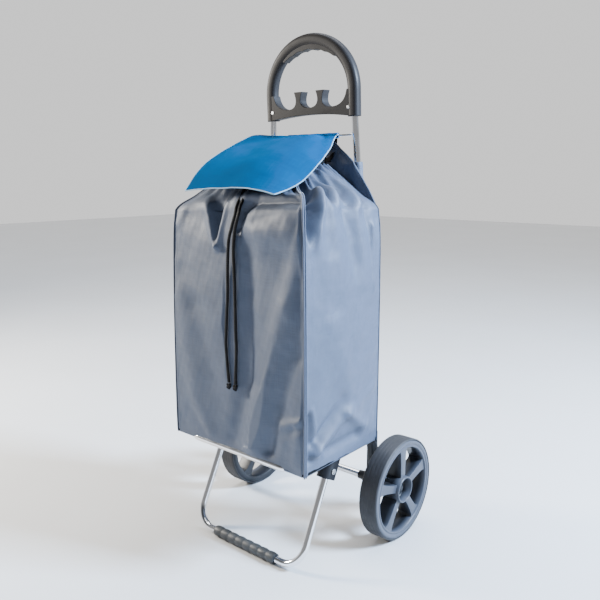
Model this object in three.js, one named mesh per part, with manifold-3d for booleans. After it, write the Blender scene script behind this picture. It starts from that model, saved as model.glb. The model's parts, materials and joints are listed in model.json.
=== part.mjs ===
// A two-wheeled shopping trolley: two leaning uprights with a moulded handle, a fold-up
// platform on a U-shaped leg, a fabric bag with a lid flap, and two spoked wheels.
// Millimetres, +Z up, +X to the right, the bag in front of the uprights towards -Y.
import * as THREE from "three";
import { mergeVertices } from "three/addons/utils/BufferGeometryUtils.js";
import Module from "manifold-3d";

// ---- driving dimensions ----
const TOTAL_HEIGHT = 1000;
const WHEEL_RADIUS = 104;
const TYRE_WIDTH = 40.4;
const TYRE_INNER_X = 175.3;
const AXLE_RADIUS = 5.9;
const AXLE_TUBE_RADIUS = 7.2; // the thicker stretch between the brackets
const TUBE_RADIUS = 7;
const FRAME_LEAN = THREE.MathUtils.degToRad(2.7);
const UPRIGHT_FOOT_X = 142;
const UPRIGHT_TOP_X = 104;
const HANDLE_HEIGHT = 160.2;
const BAG_HALF_WIDTH = 170;
const BAG_FRONT_Y = -262.5;
const BAG_BACK_Y = -37;
const SHOULDER_HALF_WIDTH = 163;
const SHOULDER_FRONT_Y = -256;
const BAG_FLOOR_Z = 219.4;
const BAG_SHOULDER_Z = 665;
const MOUTH_Z = 750;
const MOUTH_HALF_WIDTH = 62;
const MOUTH_FRONT_Y = -178;
const MOUTH_BACK_Y = -62;
const RAIL_X = 139.5;
const PLATFORM_Z = 212;
const PLATFORM_PIVOT_Y = -62;
const PLATFORM_FRONT_Y = -258;
const LEG_PIVOT_Y = -158;
const LEG_PIVOT_Z = 181;
const FOOT_Y = -241.6;
const FOOT_Z = 10.6;
const WIRE_RISE = 702.8; // height of the cross wire above the axle, along the leaning frame
const AXLE_Y = 84.5; // puts the origin under the middle of the footprint

// ---- shared small sizes ----
const GAP = 0.3;
const RUNNING = 0.35;
const PIN_RADIUS = 3;
const CLOTH = 2.4;

const AXLE_Z = WHEEL_RADIUS;
const TOP_RISE = (TOTAL_HEIGHT - AXLE_Z) / Math.cos(FRAME_LEAN);
const HANDLE_RISE = TOP_RISE - HANDLE_HEIGHT;
const LEG_TILT = Math.atan2(LEG_PIVOT_Y - FOOT_Y, LEG_PIVOT_Z - FOOT_Z);
const SPLAY = Math.atan2(UPRIGHT_FOOT_X - UPRIGHT_TOP_X, HANDLE_RISE);

const wasm = await Module();
wasm.setup();

// ---- materials ----
function material(color, roughness, metalness) {
  return new THREE.MeshStandardMaterial({ color, roughness, metalness });
}
const LOOKS = {
  chrome: () => material(0xd9dde2, 0.15, 1),
  steel: () => material(0xb9bdc2, 0.35, 1),
  charcoal: () => material(0x46464c, 0.45, 0),
  bracket: () => material(0x2f3136, 0.5, 0),
  rim: () => material(0x8d949e, 0.5, 0),
  tyre: () => material(0x3c3d42, 0.8, 0),
  grip: () => material(0x2b2d31, 0.75, 0),
  slate: () => material(0x8d97a8, 0.9, 0),
  lining: () => material(0x17191c, 0.95, 0),
  blue: () => material(0x0078b4, 0.85, 0),
  board: () => material(0x3a3a3a, 0.9, 0),
  cord: () => material(0x141414, 0.9, 0),
};

// ---- solids: joining and cutting ----
function toSolid(geometry) {
  const bare = new THREE.BufferGeometry();
  bare.setAttribute("position", geometry.getAttribute("position").clone());
  if (geometry.index) bare.setIndex(geometry.index.clone());
  const merged = mergeVertices(bare, 1e-3);
  return new wasm.Manifold(
    new wasm.Mesh({
      numProp: 3,
      vertProperties: new Float32Array(merged.attributes.position.array),
      triVerts: new Uint32Array(merged.index.array),
    }),
  );
}

function toGeometry(solid) {
  const { vertProperties, triVerts } = solid.getMesh();
  const geometry = new THREE.BufferGeometry();
  geometry.setAttribute("position", new THREE.BufferAttribute(vertProperties, 3));
  geometry.setIndex(new THREE.BufferAttribute(triVerts, 1));
  geometry.computeVertexNormals();
  return geometry;
}

const join = (...geometries) => geometries.map(toSolid).reduce((a, b) => a.add(b));
const cut = (solid, ...tools) => tools.map(toSolid).reduce((a, b) => a.subtract(b), solid);

// ---- shapes ----
// A closed profile of [radius, distance along X] points turned about the X axis.
function turned(profile, sides) {
  const area = profile.reduce((sum, [r, a], i) => {
    const [r2, a2] = profile[(i + 1) % profile.length];
    return sum + r * a2 - r2 * a;
  }, 0);
  const loop = area > 0 ? profile : [...profile].reverse();
  const points = [...loop, loop[0]].map(([r, a]) => new THREE.Vector2(r, a));
  return new THREE.LatheGeometry(points, sides).rotateZ(-Math.PI / 2);
}

function rodX(radius, x0, x1, y = 0, z = 0, sides = 16) {
  return new THREE.CylinderGeometry(radius, radius, x1 - x0, sides)
    .rotateZ(Math.PI / 2)
    .translate((x0 + x1) / 2, y, z);
}

function rodY(radius, y0, y1, x = 0, z = 0, sides = 16) {
  return new THREE.CylinderGeometry(radius, radius, y1 - y0, sides).translate(x, (y0 + y1) / 2, z);
}

function rodZ(radius, z0, z1, sides = 16) {
  return new THREE.CylinderGeometry(radius, radius, z1 - z0, sides)
    .rotateX(Math.PI / 2)
    .translate(0, 0, (z0 + z1) / 2);
}

function block(x0, x1, y0, y1, z0, z1) {
  return new THREE.BoxGeometry(x1 - x0, y1 - y0, z1 - z0).translate(
    (x0 + x1) / 2,
    (y0 + y1) / 2,
    (z0 + z1) / 2,
  );
}

// A round section carried along a path.
function pipe(path, radius, sides, steps) {
  const section = new THREE.Shape(
    Array.from({ length: sides }, (_, i) => {
      const angle = (2 * Math.PI * (i + 0.5)) / sides;
      return new THREE.Vector2(radius * Math.cos(angle), radius * Math.sin(angle));
    }),
  );
  return new THREE.ExtrudeGeometry(section, { extrudePath: path, steps, bevelEnabled: false });
}

// Straight runs between the points, with each inner corner rounded to the radius.
function roundedPath(points, radius) {
  const path = new THREE.CurvePath();
  let from = points[0];
  for (let i = 1; i < points.length - 1; i++) {
    const corner = points[i];
    const back = points[i - 1].clone().sub(corner).normalize();
    const on = points[i + 1].clone().sub(corner).normalize();
    const reach = radius / Math.tan(back.angleTo(on) / 2);
    const start = corner.clone().addScaledVector(back, reach);
    const end = corner.clone().addScaledVector(on, reach);
    path.add(new THREE.LineCurve3(from, start));
    path.add(new THREE.CubicBezierCurve3(
      start,
      start.clone().addScaledVector(back, -0.55 * reach),
      end.clone().addScaledVector(on, -0.55 * reach),
      end,
    ));
    from = end;
  }
  path.add(new THREE.LineCurve3(from, points[points.length - 1]));
  return path;
}

// A box whose corners (or grid of points) are moved: shape(u, v, w) gives the place of the
// point at u, v, w, each from 0 to 1 across the box.
function shaped(shape, nu = 1, nv = 1, nw = 1) {
  const geometry = new THREE.BoxGeometry(1, 1, 1, nu, nv, nw);
  const place = geometry.getAttribute("position");
  for (let i = 0; i < place.count; i++) {
    const p = shape(place.getX(i) + 0.5, place.getY(i) + 0.5, place.getZ(i) + 0.5);
    place.setXYZ(i, p[0], p[1], p[2]);
  }
  return geometry;
}

const mix = (a, b, t) => a + (b - a) * t;

// Linear reading of a table of [key, value, ...] rows at a key.
function reading(table, key, column) {
  let i = 1;
  while (i < table.length - 1 && key > table[i][0]) i++;
  const t = (key - table[i - 1][0]) / (table[i][0] - table[i - 1][0]);
  return mix(table[i - 1][column], table[i][column], t);
}

// ---- scene graph ----
const trolley = new THREE.Group();
const base = new THREE.Group(); // its origin is on the floor under the axle
base.position.y = AXLE_Y;
trolley.add(base);
const back = new THREE.Group(); // leans forward about the axle; local Z is the rise above it
back.position.z = AXLE_Z;
back.rotation.x = FRAME_LEAN;
base.add(back);

function place(parent, name, shape, look) {
  const geometry = shape.isBufferGeometry ? shape : toGeometry(shape);
  const mesh = new THREE.Mesh(geometry, LOOKS[look]());
  mesh.name = name;
  parent.add(mesh);
  return mesh;
}

const SIDES = { left: -1, right: 1 };

// ---- uprights, cross wire ----
const UPRIGHT_START = 14;
const UPRIGHT_IN_HANDLE = 45;

function uprightGroup(side) {
  const group = new THREE.Group();
  group.position.x = side * UPRIGHT_FOOT_X;
  group.rotation.y = -side * SPLAY;
  back.add(group);
  return group;
}

const uprightX = (rise) => UPRIGHT_FOOT_X - rise * Math.tan(SPLAY);

const uprights = {};
for (const [word, side] of Object.entries(SIDES)) {
  uprights[word] = uprightGroup(side);
  const top = (HANDLE_RISE + UPRIGHT_IN_HANDLE) / Math.cos(SPLAY);
  place(uprights[word], `upright_${word}`, rodZ(TUBE_RADIUS, UPRIGHT_START, top), "chrome");
}

const WIRE_RADIUS = 1.9;
const wireEnd = uprightX(WIRE_RISE) - TUBE_RADIUS / Math.cos(SPLAY) - GAP;
place(back, "cross_wire", rodX(WIRE_RADIUS, -wireEnd, wireEnd, 0, WIRE_RISE, 10), "chrome");

// ---- handle: D-section loop, plate with two hook posts ----
const LOOP_OUTER = 11;
const LOOP_INNER = 13.4;
const PAD_THICK = 7.5; // finger pad under the top of the arch
const PAD_HALF_ANGLE = 0.78;
const HANDLE_HALF_DEPTH = 11;
const ARCH_CENTRE = 50; // height of the arch's centre above the handle's lower edge
const FINGER_WAVES = 5;
const FINGER_DEPTH = 2.2;
const POST_X = 27.5;
const POST_TOP = 53;

function loopPath() {
  const side = UPRIGHT_TOP_X;
  const top = HANDLE_HEIGHT - LOOP_OUTER;
  const rise = top - ARCH_CENTRE;
  const pull = 0.552;
  const path = new THREE.CurvePath();
  const at = (x, z) => new THREE.Vector3(x, 0, z);
  path.add(new THREE.LineCurve3(at(-side, 0), at(-side, ARCH_CENTRE)));
  path.add(new THREE.CubicBezierCurve3(
    at(-side, ARCH_CENTRE), at(-side, ARCH_CENTRE + pull * rise), at(-pull * side, top), at(0, top),
  ));
  path.add(new THREE.CubicBezierCurve3(
    at(0, top), at(pull * side, top), at(side, ARCH_CENTRE + pull * rise), at(side, ARCH_CENTRE),
  ));
  path.add(new THREE.LineCurve3(at(side, ARCH_CENTRE), at(side, 0)));
  return path;
}

// Flat towards the inside of the loop and half round towards the outside.
function loopSection(inward) {
  const points = [new THREE.Vector2(inward * LOOP_INNER, -HANDLE_HALF_DEPTH + 3)];
  points.push(new THREE.Vector2(inward * (LOOP_INNER - 3), -HANDLE_HALF_DEPTH));
  for (let i = 0; i <= 8; i++) {
    const angle = -Math.PI / 2 + (Math.PI * i) / 8;
    points.push(new THREE.Vector2(
      -inward * LOOP_OUTER * Math.cos(angle), HANDLE_HALF_DEPTH * Math.sin(angle),
    ));
  }
  points.push(new THREE.Vector2(inward * (LOOP_INNER - 3), HANDLE_HALF_DEPTH));
  points.push(new THREE.Vector2(inward * LOOP_INNER, HANDLE_HALF_DEPTH - 3));
  return new THREE.Shape(points);
}

// The moulded plate between the legs of the loop: arched lower edge, three bays, two posts.
function plateOutline() {
  const edge = UPRIGHT_TOP_X;
  const outline = new THREE.Shape();
  outline.moveTo(-edge, 0);
  outline.quadraticCurveTo(0, 16, edge, 0);
  outline.lineTo(edge, ARCH_CENTRE);
  outline.lineTo(edge - LOOP_INNER + 1, ARCH_CENTRE);
  outline.bezierCurveTo(88, 30, 76, 20.5, 53, 20.5);
  outline.bezierCurveTo(36, 20.5, 28, 32, 38, POST_TOP);
  outline.lineTo(2 * POST_X - 38, POST_TOP);
  outline.bezierCurveTo(27, 32, 19, 21.5, 0, 21.5);
  outline.bezierCurveTo(-19, 21.5, -27, 32, 38 - 2 * POST_X, POST_TOP);
  outline.lineTo(-38, POST_TOP);
  outline.bezierCurveTo(-28, 32, -36, 20.5, -53, 20.5);
  outline.bezierCurveTo(-76, 20.5, -88, 30, LOOP_INNER - 1 - edge, ARCH_CENTRE);
  outline.lineTo(-edge, ARCH_CENTRE);
  return outline;
}

const SCREW_X = 96;
const SCREW_Z = 17;
const SCREW_RADIUS = 3.2;
const SCREW_DEPTH = 5;

// The finger pad hangs under the arch: its lower edge is a row of shallow waves.
function padOutline() {
  const steps = 8 * FINGER_WAVES;
  const across = UPRIGHT_TOP_X - LOOP_INNER;
  const up = HANDLE_HEIGHT - LOOP_OUTER - LOOP_INNER - ARCH_CENTRE;
  const point = (angle, inset) => new THREE.Vector2(
    (across - inset) * Math.sin(angle), ARCH_CENTRE + (up - inset) * Math.cos(angle),
  );
  const angles = Array.from({ length: steps + 1 }, (_, i) => mix(-1, 1, i / steps) * PAD_HALF_ANGLE);
  const upper = angles.map((angle) => point(angle, -3));
  const lower = angles.map((angle) => {
    const end = Math.cos((0.5 * Math.PI * angle) / PAD_HALF_ANGLE) ** 0.7;
    const wave = Math.abs(Math.cos((FINGER_WAVES * Math.PI * angle) / (2 * PAD_HALF_ANGLE)));
    return point(angle, PAD_THICK * end - FINGER_DEPTH * end * wave);
  });
  return new THREE.Shape([...upper, ...lower.slice(1, -1).reverse()]);
}

function handleSolid() {
  const loop = new THREE.ExtrudeGeometry(loopSection(1), {
    extrudePath: loopPath(), steps: 44, bevelEnabled: false,
  });
  const depth = 2 * (HANDLE_HALF_DEPTH - 0.4);
  const plate = new THREE.ExtrudeGeometry(plateOutline(), {
    depth, bevelEnabled: false, curveSegments: 8,
  }).rotateX(Math.PI / 2).translate(0, depth / 2, 0);
  const pad = new THREE.ExtrudeGeometry(padOutline(), { depth: depth - 2, bevelEnabled: false })
    .rotateX(Math.PI / 2).translate(0, depth / 2 - 1, 0);
  const tools = [];
  for (const side of [-1, 1]) {
    const bore = rodZ(TUBE_RADIUS + GAP, -9, UPRIGHT_IN_HANDLE + 1);
    bore.rotateY(-side * SPLAY).translate(side * UPRIGHT_TOP_X, 0, 0);
    tools.push(bore);
    tools.push(rodY(SCREW_RADIUS + GAP, -14, SCREW_DEPTH - 11, side * SCREW_X, SCREW_Z, 12));
  }
  return cut(join(loop, plate, pad), ...tools);
}

const grip = new THREE.Group();
grip.position.z = HANDLE_RISE;
back.add(grip);
place(grip, "handle", handleSolid(), "charcoal");
for (const [word, side] of Object.entries(SIDES)) {
  const screw = rodY(SCREW_RADIUS, -11.4, SCREW_DEPTH - 11 - GAP, side * SCREW_X, SCREW_Z, 12);
  place(grip, `handle_screw_${word}`, screw, "steel");
}

// ---- rear brackets: upright socket, axle boss, forward arm with the platform pivot ----
const ARM_INNER_X = 147.3;
const ARM_OUTER_X = 157;
const BOSS_INNER_X = 126;
const BOSS_OUTER_X = 171.6;
const AXLE_STEP_X = 134; // where the axle's thick middle ends, inside the bosses
const ARM_TOP_Z = 218.6;
const ARM_FLOOR_Z = 204;

function rearBracket() {
  const upright = (radius, from, to) =>
    rodZ(radius, from, to)
      .rotateY(-SPLAY)
      .translate(UPRIGHT_FOOT_X, 0, 0)
      .rotateX(FRAME_LEAN)
      .translate(0, 0, AXLE_Z);
  const boss = turned(
    [[0, -20], [9.2, -20], [9.6, -12], [13.5, 0], [13.5, BOSS_OUTER_X - BOSS_INNER_X],
      [0, BOSS_OUTER_X - BOSS_INNER_X]], 20,
  ).translate(BOSS_INNER_X, 0, AXLE_Z);
  const solid = join(
    boss,
    upright(11.5, 4, 130),
    block(130, 146, -11, 0, AXLE_Z, 210),
    block(128, ARM_OUTER_X, -24, -13, 196, ARM_TOP_Z),
    block(ARM_INNER_X, ARM_OUTER_X, PLATFORM_PIVOT_Y - 11, -20, ARM_FLOOR_Z, ARM_TOP_Z),
  );
  return cut(
    solid,
    upright(TUBE_RADIUS + GAP, UPRIGHT_START - GAP, 140),
    rodX(AXLE_RADIUS + RUNNING, 90, 180, 0, AXLE_Z, 20),
    rodX(AXLE_TUBE_RADIUS + RUNNING, 90, AXLE_STEP_X + GAP, 0, AXLE_Z, 20),
    rodX(PIN_RADIUS + RUNNING, 140, 165, PLATFORM_PIVOT_Y, PLATFORM_Z, 12),
  );
}

// A piece made for the right side, turned over for the left one.
function mirrored(solid) {
  const { vertProperties, triVerts } = solid.getMesh();
  const places = vertProperties.map((value, i) => (i % 3 === 0 ? -value : value));
  const faces = triVerts.slice();
  for (let i = 0; i < faces.length; i += 3) [faces[i], faces[i + 1]] = [faces[i + 1], faces[i]];
  const geometry = new THREE.BufferGeometry();
  geometry.setAttribute("position", new THREE.BufferAttribute(places, 3));
  geometry.setIndex(new THREE.BufferAttribute(faces, 1));
  geometry.computeVertexNormals();
  return geometry;
}

function placePair(stem, solid, look) {
  place(base, `${stem}_right`, solid, look);
  place(base, `${stem}_left`, mirrored(solid), look);
}

placePair("rear_bracket", rearBracket(), "bracket");

// ---- axle, wheels ----
const HUB_OUTER = 27;
const HUB_RECESS = 23.5;
const HUB_PROUD = 3;
const WEB_TO = 24;
const RING_INNER = 86;
const RING_SEAT = 95.5;
const FLANGE = 100.3;
const SPOKES = 5;
const WHEEL_SIDES = 40;
const AXLE_END_X = TYRE_INNER_X + WEB_TO + 6;

place(base, "axle", join(
  rodX(AXLE_RADIUS, -AXLE_END_X, AXLE_END_X, 0, AXLE_Z, 20),
  rodX(AXLE_TUBE_RADIUS, -AXLE_STEP_X, AXLE_STEP_X, 0, AXLE_Z, 20),
), "chrome");

function spoke(index) {
  const outline = new THREE.Shape();
  const foot = 8;
  const flare = 11;
  outline.moveTo(-foot, 24.5);
  outline.lineTo(foot, 24.5);
  outline.quadraticCurveTo(foot - 1, 55, flare, 78);
  outline.quadraticCurveTo(flare + 2, 86, flare + 12, 88);
  outline.lineTo(-flare - 12, 88);
  outline.quadraticCurveTo(-flare - 2, 86, -flare, 78);
  outline.quadraticCurveTo(1 - foot, 55, -foot, 24.5);
  const depth = 32;
  return new THREE.ExtrudeGeometry(outline, { depth, bevelEnabled: false, curveSegments: 5 })
    .rotateX(Math.PI / 2)
    .rotateZ(Math.PI / 2)
    .translate(4, 0, 0)
    .rotateX((2 * Math.PI * index) / SPOKES);
}

function rimRing() {
  return turned(
    [[RING_INNER, 1], [FLANGE, 1], [FLANGE, 4.6], [RING_SEAT, 4.6],
      [RING_SEAT, TYRE_WIDTH - 4.6], [FLANGE, TYRE_WIDTH - 4.6], [FLANGE, TYRE_WIDTH - 1],
      [RING_INNER, TYRE_WIDTH - 1]], WHEEL_SIDES,
  );
}

// The hub and its spokes, which end just inside the ring.
function rimSpider() {
  const hub = turned(
    [[AXLE_RADIUS + RUNNING, 1], [HUB_OUTER, 1], [HUB_OUTER, TYRE_WIDTH + HUB_PROUD],
      [HUB_RECESS, TYRE_WIDTH + HUB_PROUD], [HUB_RECESS, WEB_TO],
      [AXLE_RADIUS + RUNNING, WEB_TO]], 24,
  );
  const spokes = Array.from({ length: SPOKES }, (_, i) => spoke(i));
  const beyond = [[RING_INNER - GAP, -1], [WHEEL_RADIUS, -1], [WHEEL_RADIUS, TYRE_WIDTH + 1],
    [RING_INNER - GAP, TYRE_WIDTH + 1]];
  return cut(join(hub, ...spokes), turned(beyond, WHEEL_SIDES));
}

function tyreGeometry() {
  const w = TYRE_WIDTH;
  return turned(
    [[RING_SEAT + GAP, 5], [FLANGE + GAP, 5], [FLANGE + GAP, 0], [WHEEL_RADIUS - 1.6, 0],
      [WHEEL_RADIUS - 0.4, 0.8], [WHEEL_RADIUS, 2.4], [WHEEL_RADIUS, w - 2.4],
      [WHEEL_RADIUS - 0.4, w - 0.8], [WHEEL_RADIUS - 1.6, w], [FLANGE + GAP, w],
      [FLANGE + GAP, w - 5], [RING_SEAT + GAP, w - 5]], WHEEL_SIDES,
  );
}

for (const [word, side] of Object.entries(SIDES)) {
  const wheel = new THREE.Group();
  wheel.position.set(side * TYRE_INNER_X, 0, AXLE_Z);
  wheel.rotation.z = side > 0 ? 0 : Math.PI;
  base.add(wheel);
  const bush = [[AXLE_RADIUS + RUNNING, -3.2], [10, -3.2], [10, 0.6], [AXLE_RADIUS + RUNNING, 0.6]];
  const cap = [[AXLE_RADIUS + GAP, WEB_TO + 0.6], [11, WEB_TO + 0.6], [11, WEB_TO + 2.5],
    [9.5, WEB_TO + 3], [8.6, WEB_TO + 8], [5, WEB_TO + 10], [0, WEB_TO + 10.6],
    [0, WEB_TO + 6 + GAP], [AXLE_RADIUS + GAP, WEB_TO + 6 + GAP]];
  place(wheel, `wheel_rim_${word}`, rimRing(), "rim");
  place(wheel, `wheel_spider_${word}`, rimSpider(), "rim");
  place(wheel, `tyre_${word}`, tyreGeometry(), "tyre");
  place(wheel, `wheel_bush_${word}`, turned(bush, 20), "bracket");
  place(wheel, `axle_cap_${word}`, turned(cap, 20), "steel");
}

// ---- platform: U tube on its pins, two support wires, front brackets ----
function at(x, y, z) {
  return new THREE.Vector3(x, y, z);
}

function platformTube() {
  const rear = PLATFORM_PIVOT_Y + 13;
  const path = roundedPath([
    at(-RAIL_X, rear, PLATFORM_Z), at(-RAIL_X, PLATFORM_FRONT_Y, PLATFORM_Z),
    at(RAIL_X, PLATFORM_FRONT_Y, PLATFORM_Z), at(RAIL_X, rear, PLATFORM_Z),
  ], 34);
  const holes = [-1, 1].map((side) => rodX(
    PIN_RADIUS + RUNNING, side * RAIL_X - 9, side * RAIL_X + 9, PLATFORM_PIVOT_Y, PLATFORM_Z, 12,
  ));
  return cut(toSolid(pipe(path, TUBE_RADIUS, 10, 48)), ...holes);
}

function headedPin(inner, outer, y, z) {
  return join(
    rodX(PIN_RADIUS, inner - 1, outer + 1, y, z, 12),
    rodX(5.5, outer, outer + 2, y, z, 16),
    rodX(4.6, inner - 2, inner, y, z, 16),
  );
}

place(base, "platform_tube", platformTube(), "chrome");
placePair("platform_pin", headedPin(131.2, ARM_OUTER_X + GAP, PLATFORM_PIVOT_Y, PLATFORM_Z), "steel");

const SUPPORT_Y = { rear: -112, front: -196 };
for (const [word, y] of Object.entries(SUPPORT_Y)) {
  const end = RAIL_X - TUBE_RADIUS - GAP;
  place(base, `support_wire_${word}`, rodX(2.5, -end, end, y, PLATFORM_Z + 3, 10), "chrome");
}

// ---- front brackets: a channel round the top of the leg, open at the back ----
const CHANNEL_HALF = 14.6;
const CHANNEL_WALL = 4.2;

function channelOutline(half, nose, tail) {
  const outline = new THREE.Shape();
  outline.moveTo(half, tail);
  outline.lineTo(half, nose);
  outline.absarc(0, nose, half, 0, Math.PI, false);
  outline.lineTo(-half, tail);
  return outline;
}

function frontBracket() {
  const bore = CHANNEL_HALF - CHANNEL_WALL;
  const channel = (half, nose, tail, low, high) =>
    new THREE.ExtrudeGeometry(channelOutline(half, nose, tail), {
      depth: high - low, bevelEnabled: false, curveSegments: 8,
    })
      .rotateZ(Math.PI)
      .translate(0, 0, low)
      .rotateX(-LEG_TILT)
      .translate(RAIL_X, LEG_PIVOT_Y, LEG_PIVOT_Z);
  const solid = cut(toSolid(channel(CHANNEL_HALF, 4, -12, -16, 62)),
    channel(bore, 4, -40, -40, 80),
    block(100, 180, -300, 0, 217, 300),
    rodY(TUBE_RADIUS + GAP, -300, 0, RAIL_X, PLATFORM_Z, 24),
    block(RAIL_X - 7.3, RAIL_X + 7.3, -300, 0, PLATFORM_Z, 260),
    rodX(PIN_RADIUS + GAP, 100, 180, LEG_PIVOT_Y, LEG_PIVOT_Z, 12));
  return solid;
}

placePair("front_bracket", frontBracket(), "bracket");
placePair("leg_pin",
  headedPin(RAIL_X - CHANNEL_HALF - GAP, RAIL_X + CHANNEL_HALF + GAP, LEG_PIVOT_Y, LEG_PIVOT_Z),
  "steel");

// ---- leg: U tube that stands on a rubber grip ----
const LEG_BEYOND_PIVOT = 8;

function legTube() {
  const topY = LEG_PIVOT_Y + LEG_BEYOND_PIVOT * Math.sin(LEG_TILT);
  const topZ = LEG_PIVOT_Z + LEG_BEYOND_PIVOT * Math.cos(LEG_TILT);
  const path = roundedPath([
    at(-RAIL_X, topY, topZ), at(-RAIL_X, FOOT_Y, FOOT_Z), at(RAIL_X, FOOT_Y, FOOT_Z),
    at(RAIL_X, topY, topZ),
  ], 42);
  const holes = [-1, 1].map((side) => rodX(
    PIN_RADIUS + RUNNING, side * RAIL_X - 9, side * RAIL_X + 9, LEG_PIVOT_Y, LEG_PIVOT_Z, 12,
  ));
  return cut(toSolid(pipe(path, TUBE_RADIUS, 10, 50)), ...holes);
}

const GRIP_HALF = 82;
const GRIP_WAVES = 8;

function footGrip() {
  const outer = Array.from({ length: 3 * GRIP_WAVES + 1 }, (_, i) => {
    const wave = Math.abs(Math.sin((Math.PI * i) / 3));
    return [10.9 + 0.7 * wave, mix(-GRIP_HALF, GRIP_HALF, i / (3 * GRIP_WAVES))];
  });
  const bore = TUBE_RADIUS + GAP;
  const sleeve = turned([...outer, [bore, GRIP_HALF], [bore, -GRIP_HALF]], 16)
    .translate(0, FOOT_Y, FOOT_Z);
  return cut(toSolid(sleeve), block(-100, 100, FOOT_Y - 20, FOOT_Y + 20, -20, 0));
}

place(base, "leg_tube", legTube(), "chrome");
place(base, "foot_grip", footGrip(), "grip");

// ---- bag: four walls, a floor, four gathered panels up to the mouth ----
const SEAM = 0.25;
// Each level of the bag: height, half width, front and back.
const FLOOR_LEVEL = [BAG_FLOOR_Z, BAG_HALF_WIDTH, BAG_FRONT_Y, BAG_BACK_Y];
const SHOULDER_LEVEL = [BAG_SHOULDER_Z, SHOULDER_HALF_WIDTH, SHOULDER_FRONT_Y, BAG_BACK_Y];
const MOUTH_LEVEL = [MOUTH_Z, MOUTH_HALF_WIDTH, MOUTH_FRONT_Y, MOUTH_BACK_Y];

function levelAt(low, high, t, inset) {
  const [z, half, front, rear] = low.map((value, i) => mix(value, high[i], t));
  return { z, half: half - inset, front: front + inset, rear: rear - inset };
}

// A wall of the bag between two levels, mitred at the corners.
function wall(facing, low, high) {
  const trim = high[0] === MOUTH_Z ? SEAM / 2 : 0;
  return shaped((u, v, w) => {
    const level = levelAt(low, high, v, w * CLOTH);
    const seam = facing.x ? SEAM : SEAM + 0.2;
    const z = level.z + (v > 0.5 ? -trim : SEAM);
    if (facing.x) {
      const y = mix(level.front + seam, level.rear - seam, facing.x > 0 ? u : 1 - u);
      return [facing.x * level.half, y, z];
    }
    const x = mix(seam - level.half, level.half - seam, facing.y > 0 ? 1 - u : u);
    return [x, facing.y > 0 ? level.rear : level.front, z];
  });
}

const FACINGS = {
  front: { x: 0, y: -1 }, back: { x: 0, y: 1 }, left: { x: -1, y: 0 }, right: { x: 1, y: 0 },
};

// shaped() keeps its faces outward when u, v and w turn right-handed; w here runs inward.
function outward(geometry) {
  const solid = toSolid(geometry);
  if (solid.volume() > 0) return solid;
  const { vertProperties, triVerts } = solid.getMesh();
  const faces = triVerts.slice();
  for (let i = 0; i < faces.length; i += 3) [faces[i], faces[i + 1]] = [faces[i + 1], faces[i]];
  return new wasm.Manifold(new wasm.Mesh({ numProp: 3, vertProperties, triVerts: faces }));
}

for (const [word, facing] of Object.entries(FACINGS)) {
  const low = [BAG_FLOOR_Z + CLOTH + SEAM, ...FLOOR_LEVEL.slice(1)];
  place(base, `bag_${word}`, outward(wall(facing, low, SHOULDER_LEVEL)), "slate");
  place(base, `bag_gather_${word}`, outward(wall(facing, SHOULDER_LEVEL, MOUTH_LEVEL)), "slate");
}

place(base, "bag_bottom", block(
  -BAG_HALF_WIDTH, BAG_HALF_WIDTH, BAG_FRONT_Y, BAG_BACK_Y, BAG_FLOOR_Z, BAG_FLOOR_Z + CLOTH,
), "slate");

place(base, "base_board", block(
  CLOTH + 3 - BAG_HALF_WIDTH, BAG_HALF_WIDTH - CLOTH - 3, BAG_FRONT_Y + CLOTH + 3,
  BAG_BACK_Y - CLOTH - 3, BAG_FLOOR_Z + CLOTH + GAP, BAG_FLOOR_Z + CLOTH + GAP + 3,
), "board");

// The dark gathered collar round the mouth.
const COLLAR_HEIGHT = 10;

function collar() {
  const outer = block(
    -MOUTH_HALF_WIDTH, MOUTH_HALF_WIDTH, MOUTH_FRONT_Y, MOUTH_BACK_Y, MOUTH_Z + GAP,
    MOUTH_Z + COLLAR_HEIGHT,
  );
  const inner = block(
    CLOTH - MOUTH_HALF_WIDTH, MOUTH_HALF_WIDTH - CLOTH, MOUTH_FRONT_Y + CLOTH,
    MOUTH_BACK_Y - CLOTH, MOUTH_Z - 5, MOUTH_Z + COLLAR_HEIGHT + 5,
  );
  return cut(toSolid(outer), inner);
}

place(base, "mouth_collar", collar(), "lining");

// The back yoke and the two sleeves that hang the bag on the uprights.
const SLEEVE_FROM = 575;
const SLEEVE_TO = 653;
const SLEEVE_RADIUS = 9.6;
const YOKE_FRONT = -12.6;
const YOKE_THICK = 2.4;

function yoke() {
  const outline = new THREE.Shape([
    new THREE.Vector2(-160, SLEEVE_FROM), new THREE.Vector2(160, SLEEVE_FROM),
    new THREE.Vector2(113, SLEEVE_TO), new THREE.Vector2(69, 680), new THREE.Vector2(62, 694),
    new THREE.Vector2(-62, 694), new THREE.Vector2(-69, 680), new THREE.Vector2(-113, SLEEVE_TO),
  ]);
  return new THREE.ExtrudeGeometry(outline, { depth: YOKE_THICK, bevelEnabled: false })
    .rotateX(Math.PI / 2)
    .translate(0, YOKE_FRONT + YOKE_THICK, 0);
}

place(back, "bag_yoke", yoke(), "slate");
for (const word of Object.keys(SIDES)) {
  const from = SLEEVE_FROM;
  const sleeve = cut(toSolid(rodZ(SLEEVE_RADIUS, from, SLEEVE_TO)),
    rodZ(TUBE_RADIUS + GAP, from - 5, SLEEVE_TO + 5));
  place(uprights[word], `bag_sleeve_${word}`, sleeve, "slate");
}

// ---- flap: hemmed round the cross wire, draped over the mouth ----
const HEM_RADIUS = 4.6;
const HEM_HALF = 63;
const WIRE_Y = -WIRE_RISE * Math.sin(FRAME_LEAN);
const WIRE_Z = AXLE_Z + WIRE_RISE * Math.cos(FRAME_LEAN);
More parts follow.
